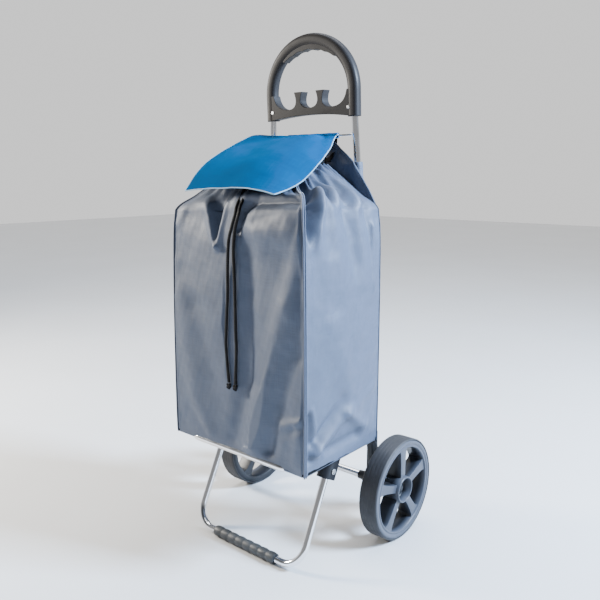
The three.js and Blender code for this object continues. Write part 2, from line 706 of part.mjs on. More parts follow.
// Rows: distance forward, height of the crown, half width, heights of the left and right edges.
const FLAP_ROWS = [
  [-WIRE_Y, WIRE_Z + 4, HEM_HALF, WIRE_Z + 3, WIRE_Z + 3],
  [70, 812, 82, 812, 801],
  [108, 811, 103, 809, 777],
  [165, 786, 120, 781, 738],
  [220, 752, 119, 748, 714],
  [273, 706, 112, 702, 700],
];

function flapSolid() {
  const reach = FLAP_ROWS[FLAP_ROWS.length - 1][0];
  const sheet = shaped((u, v, w) => {
    const forward = mix(-WIRE_Y, reach, v);
    const across = 1 - 2 * u;
    const crown = reading(FLAP_ROWS, forward, 1);
    const half = reading(FLAP_ROWS, forward, 2);
    const edge = reading(FLAP_ROWS, forward, across < 0 ? 3 : 4);
    const z = mix(crown, edge, Math.abs(across) ** 3);
    return [across * half, -forward, z - CLOTH * (1 - w)];
  }, 8, 9, 1);
  const hem = rodX(HEM_RADIUS, -HEM_HALF, HEM_HALF, WIRE_Y, WIRE_Z, 14);
  const wireBore = rodX(WIRE_RADIUS + RUNNING, -HEM_HALF - 5, HEM_HALF + 5, WIRE_Y, WIRE_Z, 12);
  return cut(outward(sheet).add(toSolid(hem)), wireBore);
}

place(base, "flap", flapSolid(), "blue");

// ---- drawcord: two ends hanging from the collar, each with a knot ----
const CORD_RADIUS = 2.4;
const KNOT_RADIUS = 5;
const CORD_LEFT = [
  at(-2, -181.5, 753), at(1, -196, 743), at(6, -228, 712), at(12, -258, 681), at(15, -267.5, 664),
  at(6, -268, 641), at(-3, -268, 612), at(-7, -268, 560), at(-8, -268, 518), at(-13, -268, 455),
  at(-15, -268, 420), at(-12, -268, 380), at(-9, -268, 350),
];
const CORD_RIGHT = [
  at(9, -181.5, 753), at(10, -196, 743), at(15, -228, 712), at(21, -258, 681),
  at(23, -267.5, 663), at(14, -268, 636), at(9, -268, 600), at(10, -268, 560), at(11, -268, 518),
  at(11, -268, 455), at(12, -268, 420), at(10, -268, 380), at(8, -268, 350),
];

for (const [word, route] of Object.entries({ left: CORD_LEFT, right: CORD_RIGHT })) {
  const path = new THREE.CatmullRomCurve3(route);
  place(base, `drawcord_${word}`, pipe(path, CORD_RADIUS, 8, 34), "cord");
  const end = route[route.length - 1];
  const knot = new THREE.SphereGeometry(KNOT_RADIUS, 12, 8).scale(0.95, 0.9, 1.3);
  knot.translate(end.x, end.y, end.z - 1.3 * KNOT_RADIUS - GAP);
  place(base, `drawcord_knot_${word}`, knot, "cord");
}

export default trolley;
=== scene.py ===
import json
import math

import bmesh
import bpy
import numpy as np
from mathutils import Vector
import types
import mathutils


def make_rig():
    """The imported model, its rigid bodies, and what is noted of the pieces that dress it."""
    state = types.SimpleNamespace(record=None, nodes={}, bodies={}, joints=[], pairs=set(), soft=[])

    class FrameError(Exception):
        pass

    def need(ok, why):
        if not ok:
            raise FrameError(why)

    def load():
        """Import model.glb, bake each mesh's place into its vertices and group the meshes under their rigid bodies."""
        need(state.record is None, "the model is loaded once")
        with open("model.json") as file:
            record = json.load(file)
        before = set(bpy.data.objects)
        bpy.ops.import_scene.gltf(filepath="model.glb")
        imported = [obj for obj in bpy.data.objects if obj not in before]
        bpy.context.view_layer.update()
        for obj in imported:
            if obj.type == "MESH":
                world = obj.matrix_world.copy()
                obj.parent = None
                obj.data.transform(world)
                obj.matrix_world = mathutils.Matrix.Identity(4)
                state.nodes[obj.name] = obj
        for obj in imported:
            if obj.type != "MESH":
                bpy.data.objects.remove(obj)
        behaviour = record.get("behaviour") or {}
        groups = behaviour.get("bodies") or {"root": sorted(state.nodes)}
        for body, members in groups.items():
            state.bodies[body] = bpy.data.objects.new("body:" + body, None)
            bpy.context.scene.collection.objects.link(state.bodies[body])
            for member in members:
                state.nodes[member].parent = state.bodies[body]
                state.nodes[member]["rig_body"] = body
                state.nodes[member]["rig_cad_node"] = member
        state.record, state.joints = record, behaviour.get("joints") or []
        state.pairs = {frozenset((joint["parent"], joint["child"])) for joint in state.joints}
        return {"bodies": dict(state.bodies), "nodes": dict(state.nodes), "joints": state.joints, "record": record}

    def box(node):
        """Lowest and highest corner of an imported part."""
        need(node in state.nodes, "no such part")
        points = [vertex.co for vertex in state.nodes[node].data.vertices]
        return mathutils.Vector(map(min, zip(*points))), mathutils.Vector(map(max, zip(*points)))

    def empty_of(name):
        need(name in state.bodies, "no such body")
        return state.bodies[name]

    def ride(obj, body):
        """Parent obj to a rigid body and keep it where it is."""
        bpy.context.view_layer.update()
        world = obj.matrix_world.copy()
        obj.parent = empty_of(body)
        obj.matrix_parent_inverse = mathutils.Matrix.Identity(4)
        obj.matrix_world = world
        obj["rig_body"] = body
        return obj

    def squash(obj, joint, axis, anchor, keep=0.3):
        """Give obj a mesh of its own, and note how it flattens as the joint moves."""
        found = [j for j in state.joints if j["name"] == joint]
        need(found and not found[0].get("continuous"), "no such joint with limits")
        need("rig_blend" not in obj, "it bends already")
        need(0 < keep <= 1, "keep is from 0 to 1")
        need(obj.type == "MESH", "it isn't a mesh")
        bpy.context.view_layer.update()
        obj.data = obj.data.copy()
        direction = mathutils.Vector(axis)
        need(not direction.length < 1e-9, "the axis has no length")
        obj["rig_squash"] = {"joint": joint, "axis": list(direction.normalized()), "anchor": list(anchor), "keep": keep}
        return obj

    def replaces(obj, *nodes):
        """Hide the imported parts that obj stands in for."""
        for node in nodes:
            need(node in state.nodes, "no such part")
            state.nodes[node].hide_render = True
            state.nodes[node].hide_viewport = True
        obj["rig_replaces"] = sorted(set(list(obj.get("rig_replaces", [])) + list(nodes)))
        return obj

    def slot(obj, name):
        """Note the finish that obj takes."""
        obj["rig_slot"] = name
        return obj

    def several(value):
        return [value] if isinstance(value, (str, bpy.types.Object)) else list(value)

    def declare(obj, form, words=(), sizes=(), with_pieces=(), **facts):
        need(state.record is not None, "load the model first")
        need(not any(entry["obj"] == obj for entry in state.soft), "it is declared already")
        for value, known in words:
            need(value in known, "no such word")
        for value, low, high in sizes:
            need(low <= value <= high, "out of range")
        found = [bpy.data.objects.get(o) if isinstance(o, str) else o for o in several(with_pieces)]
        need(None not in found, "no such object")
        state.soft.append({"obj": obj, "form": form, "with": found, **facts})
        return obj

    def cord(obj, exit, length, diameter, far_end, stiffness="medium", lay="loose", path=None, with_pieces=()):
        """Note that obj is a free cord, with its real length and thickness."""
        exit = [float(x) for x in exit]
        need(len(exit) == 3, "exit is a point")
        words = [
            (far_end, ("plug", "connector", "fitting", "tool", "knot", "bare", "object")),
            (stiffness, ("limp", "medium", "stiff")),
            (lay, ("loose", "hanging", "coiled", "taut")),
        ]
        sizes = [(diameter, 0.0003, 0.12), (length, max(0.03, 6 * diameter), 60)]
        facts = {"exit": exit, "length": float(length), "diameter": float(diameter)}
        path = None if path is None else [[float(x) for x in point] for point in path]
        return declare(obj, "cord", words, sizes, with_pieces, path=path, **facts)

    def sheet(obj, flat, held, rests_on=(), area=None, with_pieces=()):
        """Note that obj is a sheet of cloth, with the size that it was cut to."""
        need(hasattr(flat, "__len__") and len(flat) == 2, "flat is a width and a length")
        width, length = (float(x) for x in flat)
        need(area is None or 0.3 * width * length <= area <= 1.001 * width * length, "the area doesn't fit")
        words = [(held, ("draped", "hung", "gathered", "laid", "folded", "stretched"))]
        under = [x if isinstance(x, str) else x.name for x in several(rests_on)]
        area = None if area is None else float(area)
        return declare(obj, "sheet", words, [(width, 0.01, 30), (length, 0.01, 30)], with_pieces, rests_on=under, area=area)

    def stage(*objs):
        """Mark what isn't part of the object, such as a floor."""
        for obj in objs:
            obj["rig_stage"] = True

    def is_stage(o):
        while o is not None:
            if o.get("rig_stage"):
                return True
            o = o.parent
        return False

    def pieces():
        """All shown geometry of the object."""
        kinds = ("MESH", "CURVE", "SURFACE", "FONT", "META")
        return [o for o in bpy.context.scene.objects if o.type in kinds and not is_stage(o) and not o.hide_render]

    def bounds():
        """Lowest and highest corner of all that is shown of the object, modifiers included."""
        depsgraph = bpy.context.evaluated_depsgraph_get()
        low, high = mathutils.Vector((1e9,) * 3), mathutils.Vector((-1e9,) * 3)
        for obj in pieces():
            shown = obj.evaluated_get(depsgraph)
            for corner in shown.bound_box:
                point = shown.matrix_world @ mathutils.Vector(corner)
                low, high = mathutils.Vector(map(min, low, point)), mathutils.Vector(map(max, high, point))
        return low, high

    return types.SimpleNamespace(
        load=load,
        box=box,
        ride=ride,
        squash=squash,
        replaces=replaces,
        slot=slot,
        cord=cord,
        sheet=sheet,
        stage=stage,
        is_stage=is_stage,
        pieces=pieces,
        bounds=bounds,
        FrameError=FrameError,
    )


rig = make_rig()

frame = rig.load()
CAD_BOX = [[float(c) for c in corner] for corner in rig.bounds()]

# ---------------------------------------------------------------- places
# Most places are millimetres from the floor under the axle; metres() puts them in the frame.
AXLE_LOW, AXLE_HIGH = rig.box("axle")
AXLE_Y = (AXLE_LOW.y + AXLE_HIGH.y) / 2
AXLE_Z = (AXLE_LOW.z + AXLE_HIGH.z) / 2
LEAN = math.radians(2.7)  # of the back frame
RAIL_X = 139.5  # middle of the side tubes of the platform and the leg
TUBE = 7.0  # radius of the uprights


def metres(points):
    points = np.asarray(points, float) / 1000
    points[..., 1] += AXLE_Y
    return points


def stacked(*parts):
    """Points or pairs from their coordinates, which are numbers or arrays."""
    return np.stack(np.broadcast_arrays(*parts), -1)


def local(points):
    """The reverse of metres()."""
    return np.array(points, float) * 1000 - [0, AXLE_Y * 1000, 0]


def leaning(x, y, rise):
    """A point of the leaning back frame: x, y in front of it, and the rise above the axle."""
    return (
        x,
        y * math.cos(LEAN) - rise * math.sin(LEAN),
        AXLE_Z * 1000 + rise * math.cos(LEAN) + y * math.sin(LEAN),
    )


# ---------------------------------------------------------------- camera
def link(name, data):
    piece = bpy.data.objects.new(name, data)
    bpy.context.scene.collection.objects.link(piece)
    return piece


camera_data = bpy.data.cameras.new("camera")
camera_data.lens = 39.69
camera_data.sensor_width = 36
camera = link("camera", camera_data)
camera.location = (0.8564, -1.0057, 0.7319)
camera.rotation_euler = (math.radians(90 - 10.75), 0, math.radians(40.08))
bpy.context.scene.camera = camera


# ---------------------------------------------------------------- mesh helpers
def smooth_faces(mesh):
    mesh.polygons.foreach_set("use_smooth", [True] * len(mesh.polygons))


def mesh_piece(name, points, faces, uvs=None):
    mesh = bpy.data.meshes.new(name)
    mesh.from_pydata([tuple(map(float, p)) for p in points], [], faces)
    smooth_faces(mesh)
    if uvs is not None:
        layer = mesh.uv_layers.new(name="UVMap")
        corner = np.zeros(len(mesh.loops), int)
        mesh.loops.foreach_get("vertex_index", corner)
        layer.data.foreach_set("uv", np.asarray(uvs, np.float32)[corner].ravel())
    mesh.update()
    return link(name, mesh)


def grid_piece(name, points, flip=False):
    """points is rows x columns x 3 in millimetres; the UVs are metres along the cloth."""
    rows, columns = points.shape[:2]
    along = np.zeros((rows, columns))
    across = np.zeros((rows, columns))
    along[1:] = np.cumsum(np.linalg.norm(np.diff(points, axis=0), axis=2), axis=0)
    across[:, 1:] = np.cumsum(np.linalg.norm(np.diff(points, axis=1), axis=2), axis=1)
    uvs = np.stack([across, along], -1).reshape(-1, 2) / 1000
    starts = [i * columns + j for i in range(rows - 1) for j in range(columns - 1)]
    faces = [(a, a + 1, a + columns + 1, a + columns) for a in starts]
    if flip:
        faces = [quad[::-1] for quad in faces]
    return mesh_piece(name, metres(points).reshape(-1, 3), faces, uvs)


def baked(piece):
    """Applies every modifier of a piece."""
    bpy.context.view_layer.update()
    graph = bpy.context.evaluated_depsgraph_get()
    mesh = bpy.data.meshes.new_from_object(piece.evaluated_get(graph))
    piece.modifiers.clear()
    piece.data = mesh
    return piece


def thicken(piece, thickness, inner_slot=0):
    shell = piece.modifiers.new("shell", "SOLIDIFY")
    shell.thickness = thickness / 1000
    shell.offset = -1
    shell.material_offset = inner_slot
    shell.material_offset_rim = 0
    return baked(piece)


def add_bevel(piece, width, segments, angle):
    bevel = piece.modifiers.new("bevel", "BEVEL")
    bevel.width = width / 1000
    bevel.segments = segments
    bevel.limit_method = "ANGLE"
    bevel.angle_limit = math.radians(angle)


def bevelled(piece, width, segments=3, angle=30):
    add_bevel(piece, width, segments, angle)
    return baked(piece)


def even_normals(piece):
    piece.modifiers.new("even", "WEIGHTED_NORMAL").keep_sharp = True


def soft_edges(node, width):
    """Rounds a CAD node's edges with modifiers only."""
    piece = frame["nodes"][node]
    smooth_faces(piece.data)
    piece.modifiers.new("weld", "WELD").merge_threshold = 0.00002
    add_bevel(piece, width, 3, 32)
    even_normals(piece)


def lengths(line):
    """How far along a line each of its points is."""
    return np.concatenate([[0], np.cumsum(np.linalg.norm(np.diff(line, axis=0), axis=1))])


def even_steps(line, steps):
    line = np.asarray(line, float)
    length = lengths(line)
    where = np.linspace(0, length[-1], steps)
    return np.stack([np.interp(where, length, line[:, k]) for k in range(3)], -1)


def spline(points, steps):
    """A Catmull-Rom curve through the points, evenly stepped along its length."""
    points = np.asarray(points, float)
    padded = np.vstack([2 * points[0] - points[1], points, 2 * points[-1] - points[-2]])
    t = np.linspace(0, 1, 14, endpoint=False)[:, None]
    parts = []
    for a, b, c, d in zip(padded, padded[1:], padded[2:], padded[3:]):
        cubic = 2 * b + (c - a) * t + (2 * a - 5 * b + 4 * c - d) * t**2 + (3 * b - a - 3 * c + d) * t**3
        parts.append(0.5 * cubic)
    return even_steps(np.vstack([*parts, points[-1:]]), steps)


def bezier(a, b, c, d, count=40):
    t = np.linspace(0, 1, count)[:, None]
    a, b, c, d = (np.array(p, float) for p in (a, b, c, d))
    s = 1 - t
    return s**3 * a + 3 * s * s * t * b + 3 * s * t * t * c + t**3 * d


def pulled_curve(a, b, c, count, whole=True):
    """From a to c, pulled towards b. It stops one step short of c unless it is whole."""
    t = np.linspace(0, 1, count, endpoint=whole)[:, None]
    a, b, c = (np.array(p, float) for p in (a, b, c))
    return (1 - t) ** 2 * a + 2 * t * (1 - t) * b + t * t * c


def frames_along(line):
    """Two unit vectors square to the line at each point, turned as little as possible."""
    tangent = np.gradient(line, axis=0)
    tangent /= np.linalg.norm(tangent, axis=1)[:, None]
    start = np.array([0.0, 0.0, 1.0])
    if abs(tangent[0] @ start) > 0.9:
        start = np.array([0.0, 1.0, 0.0])
    first = [start - tangent[0] * (start @ tangent[0])]
    first[0] /= np.linalg.norm(first[0])
    for t in tangent[1:]:
        v = first[-1] - t * (first[-1] @ t)
        first.append(v / np.linalg.norm(v))
    first = np.array(first)
    return first, np.cross(tangent, first)


def ring_faces(rings, sides, closed=False):
    """The quads between round rings of points. closed also joins the last ring to the first."""
    faces = []
    for i in range(rings if closed else rings - 1):
        for j in range(sides):
            k, m = (j + 1) % sides, (i + 1) % rings
            faces.append((i * sides + j, m * sides + j, m * sides + k, i * sides + k))
    return faces


def ring_uvs(across, along):
    return stacked(across, along).reshape(-1, 2) / 1000


def tube_piece(name, line, radius, sides=24, capped=True, form=None):
    """A round tube along a line in millimetres. form(angle, length) scales the radius."""
    line = np.asarray(line, float)
    count = len(line)
    n, b = frames_along(line)
    angle = np.linspace(0, math.tau, sides, endpoint=False)[None, :]
    length = lengths(line)[:, None]
    radii = radius * (np.ones((count, sides)) if form is None else form(angle, length))
    across, up = radii * np.cos(angle), radii * np.sin(angle)
    rings = line[:, None] + across[..., None] * n[:, None] + up[..., None] * b[:, None]
    faces = ring_faces(count, sides)
    if capped:
        faces += [tuple(range(sides)), tuple(reversed(range((count - 1) * sides, count * sides)))]
    uvs = ring_uvs(angle * radius, length)
    piece = mesh_piece(name, metres(rings).reshape(-1, 3), faces, uvs)
    if capped:
        for polygon in piece.data.polygons[-2:]:
            polygon.use_smooth = False
    return piece


def rounded_path(points, radius, steps=220):
    """Straight runs with each inner corner rounded, as the bent tubes are."""
    points = [np.array(p, float) for p in points]
    line = points[:1]
    for before, corner, after in zip(points, points[1:], points[2:]):
        back = (before - corner) / np.linalg.norm(before - corner)
        on = (after - corner) / np.linalg.norm(after - corner)
        reach = radius / math.tan(math.acos(np.clip(back @ on, -1, 1)) / 2)
        a, d = corner + back * reach, corner + on * reach
        line += [*bezier(a, a - 0.55 * reach * back, d - 0.55 * reach * on, d, 24)]
    return even_steps([*line, points[-1]], steps)


def lathe_piece(name, profile, centre, side=1, sides=96, closed=True, form=None):
    """Turns a profile of (radius, distance) about the X axis through centre, in millimetres."""
    profile = np.array(profile, float)
    radius, distance = profile[:, :1], profile[:, 1:]
    angle = np.linspace(0, math.tau, sides, endpoint=False)[None, :]
    radii = radius * (np.ones((1, sides)) if form is None else form(angle, distance))
    points = np.zeros((len(profile), sides, 3))
    points[..., 0] = centre[0] + side * distance
    points[..., 1] = centre[1] + radii * np.sin(angle)
    points[..., 2] = centre[2] + radii * np.cos(angle)
    faces = ring_faces(len(profile), sides, closed)
    if side < 0:
        faces = [quad[::-1] for quad in faces]
    uvs = ring_uvs(angle * radius.max(), distance)
    return mesh_piece(name, metres(points).reshape(-1, 3), faces, uvs)


def outward(piece):
    """Turns the faces of a closed mesh outward."""
    shape = bmesh.new()
    shape.from_mesh(piece.data)
    bmesh.ops.recalc_face_normals(shape, faces=shape.faces)
    shape.to_mesh(piece.data)
    shape.free()
    return piece


def extruded_piece(name, outline, x0, x1, place):
    """A flat outline pushed along X; place(x, a, b) gives millimetres."""
    count = len(outline)
    points = [place(x, a, b) for x in (x0, x1) for a, b in outline]
    faces = [tuple(range(count)), tuple(reversed(range(count, 2 * count)))]
    faces += [(i, (i + 1) % count, (i + 1) % count + count, i + count) for i in range(count)]
    return outward(mesh_piece(name, metres(points), faces))


def joined(name, pieces):
    with bpy.context.temp_override(
        active_object=pieces[0], selected_editable_objects=pieces, selected_objects=pieces
    ):
        bpy.ops.object.join()
    pieces[0].name = name
    return pieces[0]


WAVE_COUNT = 10  # sines in one noise


def waves(points, size, seed):
    """Smooth noise from about -1 to 1, a sum of sines in seeded directions."""
    rng = np.random.default_rng(seed)
    total = np.zeros(points.shape[:-1])
    for _ in range(WAVE_COUNT):
        way = rng.normal(size=3)
        way *= math.tau / (size * rng.uniform(0.6, 1.7) * np.linalg.norm(way))
        total += np.sin(points @ way + rng.uniform(0, math.tau))
    return total / math.sqrt(WAVE_COUNT)


def crease(points, line):
    """A ridge (depth > 0) or hollow along a line.

    The line holds (x, y, z, width, depth) at each of its bends, and its nearest stretch counts.
    """
    best, lift = np.full(points.shape[:-1], 1e9), np.zeros(points.shape[:-1])
    for start, end in zip(line, line[1:]):
        a, b = np.array(start[:3], float), np.array(end[:3], float)
        run = b - a
        s = np.clip(((points - a) @ run) / (run @ run), 0, 1)
        far = np.linalg.norm(points - (a + s[..., None] * run), axis=-1)
        w = start[3] + (end[3] - start[3]) * s
        d = start[4] + (end[4] - start[4]) * s
        lift = np.where(far < best, d * np.exp(-((far / w) ** 2)), lift)
        best = np.minimum(best, far)
    return lift


def smooth_step(x, low, high):
    t = np.clip((x - low) / (high - low), 0, 1)
    return t * t * (3 - 2 * t)


# ---------------------------------------------------------------- materials
class Nodes:
    """A material or the world being built, node by node."""

    def __init__(self, owner, shader="Principled BSDF"):
        owner.use_nodes = True
        self.owner = owner
        self.tree = owner.node_tree
        self.shader = self.tree.nodes[shader]
        self.coords = self.add("ShaderNodeTexCoord")
        self.height = None

    def add(self, kind, **values):
        """Adds a node. A value whose name starts with in_ is for an input."""
        node = self.tree.nodes.new(kind)
        for key, value in values.items():
            if key.startswith("in_"):
                node.inputs[key[3:].replace("_", " ")].default_value = value
            else:
                setattr(node, key, value)
        return node

    def feed(self, value, socket):
        """Wires an output to a socket, or gives the socket a number or a colour."""
        if isinstance(value, tuple):
            socket.default_value = (*value, 1)
        elif isinstance(value, (int, float)):
            socket.default_value = value
        else:
            self.tree.links.new(value, socket)

    def mapped(self, scale, source):
        node = self.add("ShaderNodeMapping", in_Scale=scale)
        self.feed(self.coords.outputs[source], node.inputs["Vector"])
        return node.outputs["Vector"]

    def part(self, source, axis):
        """One coordinate of the place."""
        node = self.add("ShaderNodeSeparateXYZ")
        self.feed(self.coords.outputs[source], node.inputs["Vector"])
        return node.outputs[axis]

    def noise(self, scale, detail, rough, source="Object", stretch=(1, 1, 1)):
        node = self.add("ShaderNodeTexNoise", in_Scale=scale, in_Detail=detail, in_Roughness=rough)
        self.feed(self.mapped(stretch, source), node.inputs["Vector"])
        return node.outputs["Fac"]

    def wave(self, pitch, axis, distortion=0.0, stretch=(1, 1, 1)):
        """Bands along the cloth, pitch metres apart: a wave node's are 2 pi / (20 scale) apart."""
        scale = math.tau / (20 * pitch)
        node = self.add("ShaderNodeTexWave", bands_direction=axis, in_Scale=scale, in_Detail=1)
        node.inputs["Distortion"].default_value = distortion
        self.feed(self.mapped(stretch, "UV"), node.inputs["Vector"])
        return node.outputs["Fac"]

    def math(self, how, a, b):
        node = self.add("ShaderNodeMath", operation=how)
        self.feed(a, node.inputs[0])
        self.feed(b, node.inputs[1])
        return node.outputs[0]

    def span(self, value, low, high, to_low, to_high, ease="LINEAR"):
        node = self.add("ShaderNodeMapRange", interpolation_type=ease)
        self.feed(value, node.inputs["Value"])
        for key, number in zip(("From Min", "From Max", "To Min", "To Max"), (low, high, to_low, to_high)):
            node.inputs[key].default_value = number
        return node.outputs["Result"]

    def varied(self, low, high, *noise):
        return self.span(self.noise(*noise), 0.3, 0.7, low, high)

    def ramp(self, value, *stops):
        node = self.add("ShaderNodeValToRGB")
        ramp = node.color_ramp
        while len(ramp.elements) < len(stops):
            ramp.elements.new(0.5)
        for element, (place, colour) in zip(ramp.elements, stops):
            element.position = place
            element.color = (*colour, 1)
        self.feed(value, node.inputs["Fac"])
        return node.outputs["Color"]

    def grey(self, value):
        return self.ramp(value, (0.0, (0, 0, 0)), (1.0, (1, 1, 1)))

    def times(self, a, b):
        """One colour multiplied by another."""
        node = self.add("ShaderNodeMix", data_type="RGBA", blend_type="MULTIPLY")
        node.inputs[0].default_value = 1.0
        self.feed(a, node.inputs[6])
        self.feed(b, node.inputs[7])
        return node.outputs[2]

    def bump(self, value, strength, distance):
        node = self.add("ShaderNodeBump", in_Strength=strength, in_Distance=distance)
        self.feed(value, node.inputs["Height"])
        if self.height is not None:
            self.feed(self.height, node.inputs["Normal"])
        self.height = node.outputs["Normal"]

    def done(self, colour, rough, **constants):
        self.feed(colour, self.shader.inputs["Base Color"])
        self.feed(rough, self.shader.inputs["Roughness"])
        for key, value in constants.items():
            self.shader.inputs[key.replace("_", " ")].default_value = value
        if self.height is not None:
            self.feed(self.height, self.shader.inputs["Normal"])
        return self.owner


def scaled(colour, factor):
    return tuple(min(1.0, c * factor) for c in colour)


def cloth_material(name, colour, rough=0.62, pitch=0.0011, spread=0.13, sheen=0.25, shine=0.3):
    """Plain-woven cloth: crossing threads, slubs along them, faded and darker patches."""
    m = Nodes(bpy.data.materials.new(name))
    weave = m.math("MULTIPLY", m.wave(pitch, "X", 0.4), m.wave(pitch, "Y", 0.4))
    slub_up = m.noise(1.0, 2, 0.5, "UV", (520, 26, 1))
    slub_over = m.noise(1.0, 2, 0.5, "UV", (26, 520, 1))
    slub = m.math("ADD", m.math("MULTIPLY", slub_up, 0.5), m.math("MULTIPLY", slub_over, 0.5))
    faded, dark = scaled(colour, 1 + spread), scaled(colour, 1 - spread)
    base = m.ramp(m.noise(9, 5, 0.6), (0.25, dark), (0.5, colour), (0.75, faded))
    threads = m.span(slub, 0.3, 0.7, 0.86, 1.14)
    gaps = m.span(weave, 0, 1, 0.86, 1.05)
    # The shade is kept under 1 in the ramp and brought back up after it.
    shade = m.math("MULTIPLY", m.math("MULTIPLY", threads, gaps), 0.8)
    bright = m.times(m.times(base, m.grey(shade)), (1.25, 1.25, 1.25))
    m.bump(m.noise(60, 3, 0.6), 0.25, 0.0006)
    m.bump(slub, 0.35, 0.0003)
    m.bump(weave, 0.5, 0.00025)
    rough_map = m.varied(rough - 0.07, rough + 0.09, 35, 3, 0.5)
    return m.done(bright, rough_map, Sheen_Weight=sheen, Sheen_Roughness=0.45, Specular_IOR_Level=shine)


def plastic_material(name, colour, rough, shine=0.3, inside=None):
    """Moulded plastic with a fine spark-eroded grain and slightly polished high spots. When inside is given, it adds
    painted shade towards the middle of the trolley.
    """
    m = Nodes(bpy.data.materials.new(name))
    patch = m.noise(14, 4, 0.6)
    speck = m.noise(360, 2, 0.5)
    mottle = m.math("ADD", m.math("MULTIPLY", patch, 0.7), m.math("MULTIPLY", speck, 0.3))
    base = m.ramp(mottle, (0.3, scaled(colour, 0.88)), (0.5, colour), (0.72, scaled(colour, 1.15)))
    if inside is not None:
        # Painted shade: darker towards the middle of the trolley, from inside[0] out over the next inside[1] metres. It
        # stands in for the shadow inside the rims and the hub recesses.
        across = m.math("ABSOLUTE", m.part("Object", "X"), 0.0)
        base = m.times(base, m.grey(m.span(across, inside[0], sum(inside), 0.16, 1.0)))
    m.bump(m.noise(900, 2, 0.6), 0.16, 0.0002)
    return m.done(base, m.varied(rough - 0.08, rough + 0.1, 22, 4, 0.6), Specular_IOR_Level=shine)


def rubber_material(name, colour, rough):
    m = Nodes(bpy.data.materials.new(name))
    dust = m.noise(26, 5, 0.65)
    base = m.ramp(dust, (0.35, colour), (0.6, scaled(colour, 1.25)), (0.78, scaled(colour, 1.7)))
    m.bump(m.noise(1400, 2, 0.6), 0.3, 0.0003)
    m.bump(m.noise(90, 3, 0.6), 0.15, 0.0005)
    return m.done(base, m.varied(rough - 0.1, rough + 0.1, 40, 3, 0.5), Specular_IOR_Level=0.35)


def metal_material(name, colour, rough, brushed=0.0):
    m = Nodes(bpy.data.materials.new(name))
    base = m.ramp(m.noise(18, 5, 0.6), (0.3, scaled(colour, 0.93)), (0.7, colour))
    m.bump(m.noise(1.0, 3, 0.6, "Object", (900, 900, 14)), 0.05 + brushed, 0.0002)
    return m.done(base, m.varied(rough * 0.7, rough * 1.5, 30, 4, 0.6), Metallic=1.0)


def cord_material(name, colour):
    m = Nodes(bpy.data.materials.new(name))
    strands = [m.wave(0.0017, "DIAGONAL", stretch=(way, 1, 1)) for way in (1, -1)]
    braid = m.math("MAXIMUM", *strands)
    base = m.ramp(braid, (0.3, scaled(colour, 0.45)), (0.7, colour), (1.0, scaled(colour, 1.9)))
    m.bump(braid, 0.8, 0.0006)
    m.bump(m.noise(2500, 2, 0.6), 0.4, 0.0002)
    return m.done(base, m.varied(0.6, 0.8, 60, 3, 0.5), Specular_IOR_Level=0.2)

SLATE = cloth_material("slate_cloth", (0.06, 0.078, 0.12), rough=0.52, sheen=0.02, shine=0.4)
PIPING = cloth_material("slate_piping", (0.058, 0.074, 0.115), rough=0.55, pitch=0.0014)
LINING = cloth_material("black_lining", (0.0035, 0.004, 0.005), rough=0.75, sheen=0.0, shine=0.1)
BLUE = cloth_material("blue_cloth", (0.0, 0.06, 0.168), rough=0.85, spread=0.1, sheen=0.0, shine=0.02)
BINDING = cloth_material("pale_binding", (0.2, 0.34, 0.46), rough=0.7, pitch=0.0009)
CHROME = metal_material("chrome", (0.86, 0.87, 0.9), 0.09)
STEEL = metal_material("zinc_steel", (0.7, 0.72, 0.74), 0.3, 0.1)
CHARCOAL = plastic_material("charcoal_plastic", (0.02, 0.0185, 0.019), 0.45, shine=0.12)
BRACKET = plastic_material("bracket_plastic", (0.006, 0.0065, 0.0085), 0.36)
# Painted shade inside the wheel rims: where it starts and how far it reaches, in metres.
RIM_PAINTED_SHADE = (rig.box("tyre_right")[0].x + 0.025, 0.013)
RIM = plastic_material("rim_plastic", (0.05, 0.056, 0.072), 0.4, inside=RIM_PAINTED_SHADE)
CAP = plastic_material("cap_plastic", (0.012, 0.013, 0.016), 0.4)
TYRE = rubber_material("tyre_rubber", (0.02, 0.02, 0.0225), 0.6)
GRIP = rubber_material("grip_rubber", (0.034, 0.037, 0.04), 0.5)
BOARD = plastic_material("board_plastic", (0.04, 0.04, 0.042), 0.7)
CORD = cord_material("cord_braid", (0.006, 0.0055, 0.0055))


def finish_piece(piece, material, body, slot, replaces=()):
    if not piece.data.materials:
        piece.data.materials.append(material)
    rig.ride(piece, body)
    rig.slot(piece, slot)
    if replaces:
        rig.replaces(piece, *replaces)
    return piece


def cloth_piece(sheet, thickness, materials, body, slot, replaces=()):
    """Gives a sheet of cloth its thickness, with the last of its materials inside."""
    for material in materials:
        sheet.data.materials.append(material)
    thicken(sheet, thickness, len(materials) - 1)
    return finish_piece(sheet, materials[0], body, slot, replaces)


def repaint(node, material):
    piece = frame["nodes"][node]
    for slot in piece.material_slots:
        slot.material = material
    if not piece.material_slots:
        piece.data.materials.append(material)


def crumple(piece):
    """Soft pieces flatten against the back when the platform folds up."""
    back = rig.box("bag_back")[1].y
    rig.squash(piece, "platform_fold", axis=(0, 1, 0), anchor=(0, back, 0), keep=0.085)


# ---------------------------------------------------------------- tubes
def node_axis(node):
    """The two end centres of a straight CAD tube, lowest first, in metres."""
    points = np.array([v.co for v in frame["nodes"][node].data.vertices], float)
    low, high = points[:, 2].min(), points[:, 2].max()
    ends = [points[points[:, 2] < low + 0.002], points[points[:, 2] > high - 0.002]]
    return [e.mean(0) for e in ends]


for word in ("left", "right"):
    line = even_steps(local(node_axis(f"upright_{word}")), 60)
    upright = tube_piece(f"upright_{word}_tube", line, TUBE, 40)
    finish_piece(upright, CHROME, "frame", "chrome", [f"upright_{word}"])

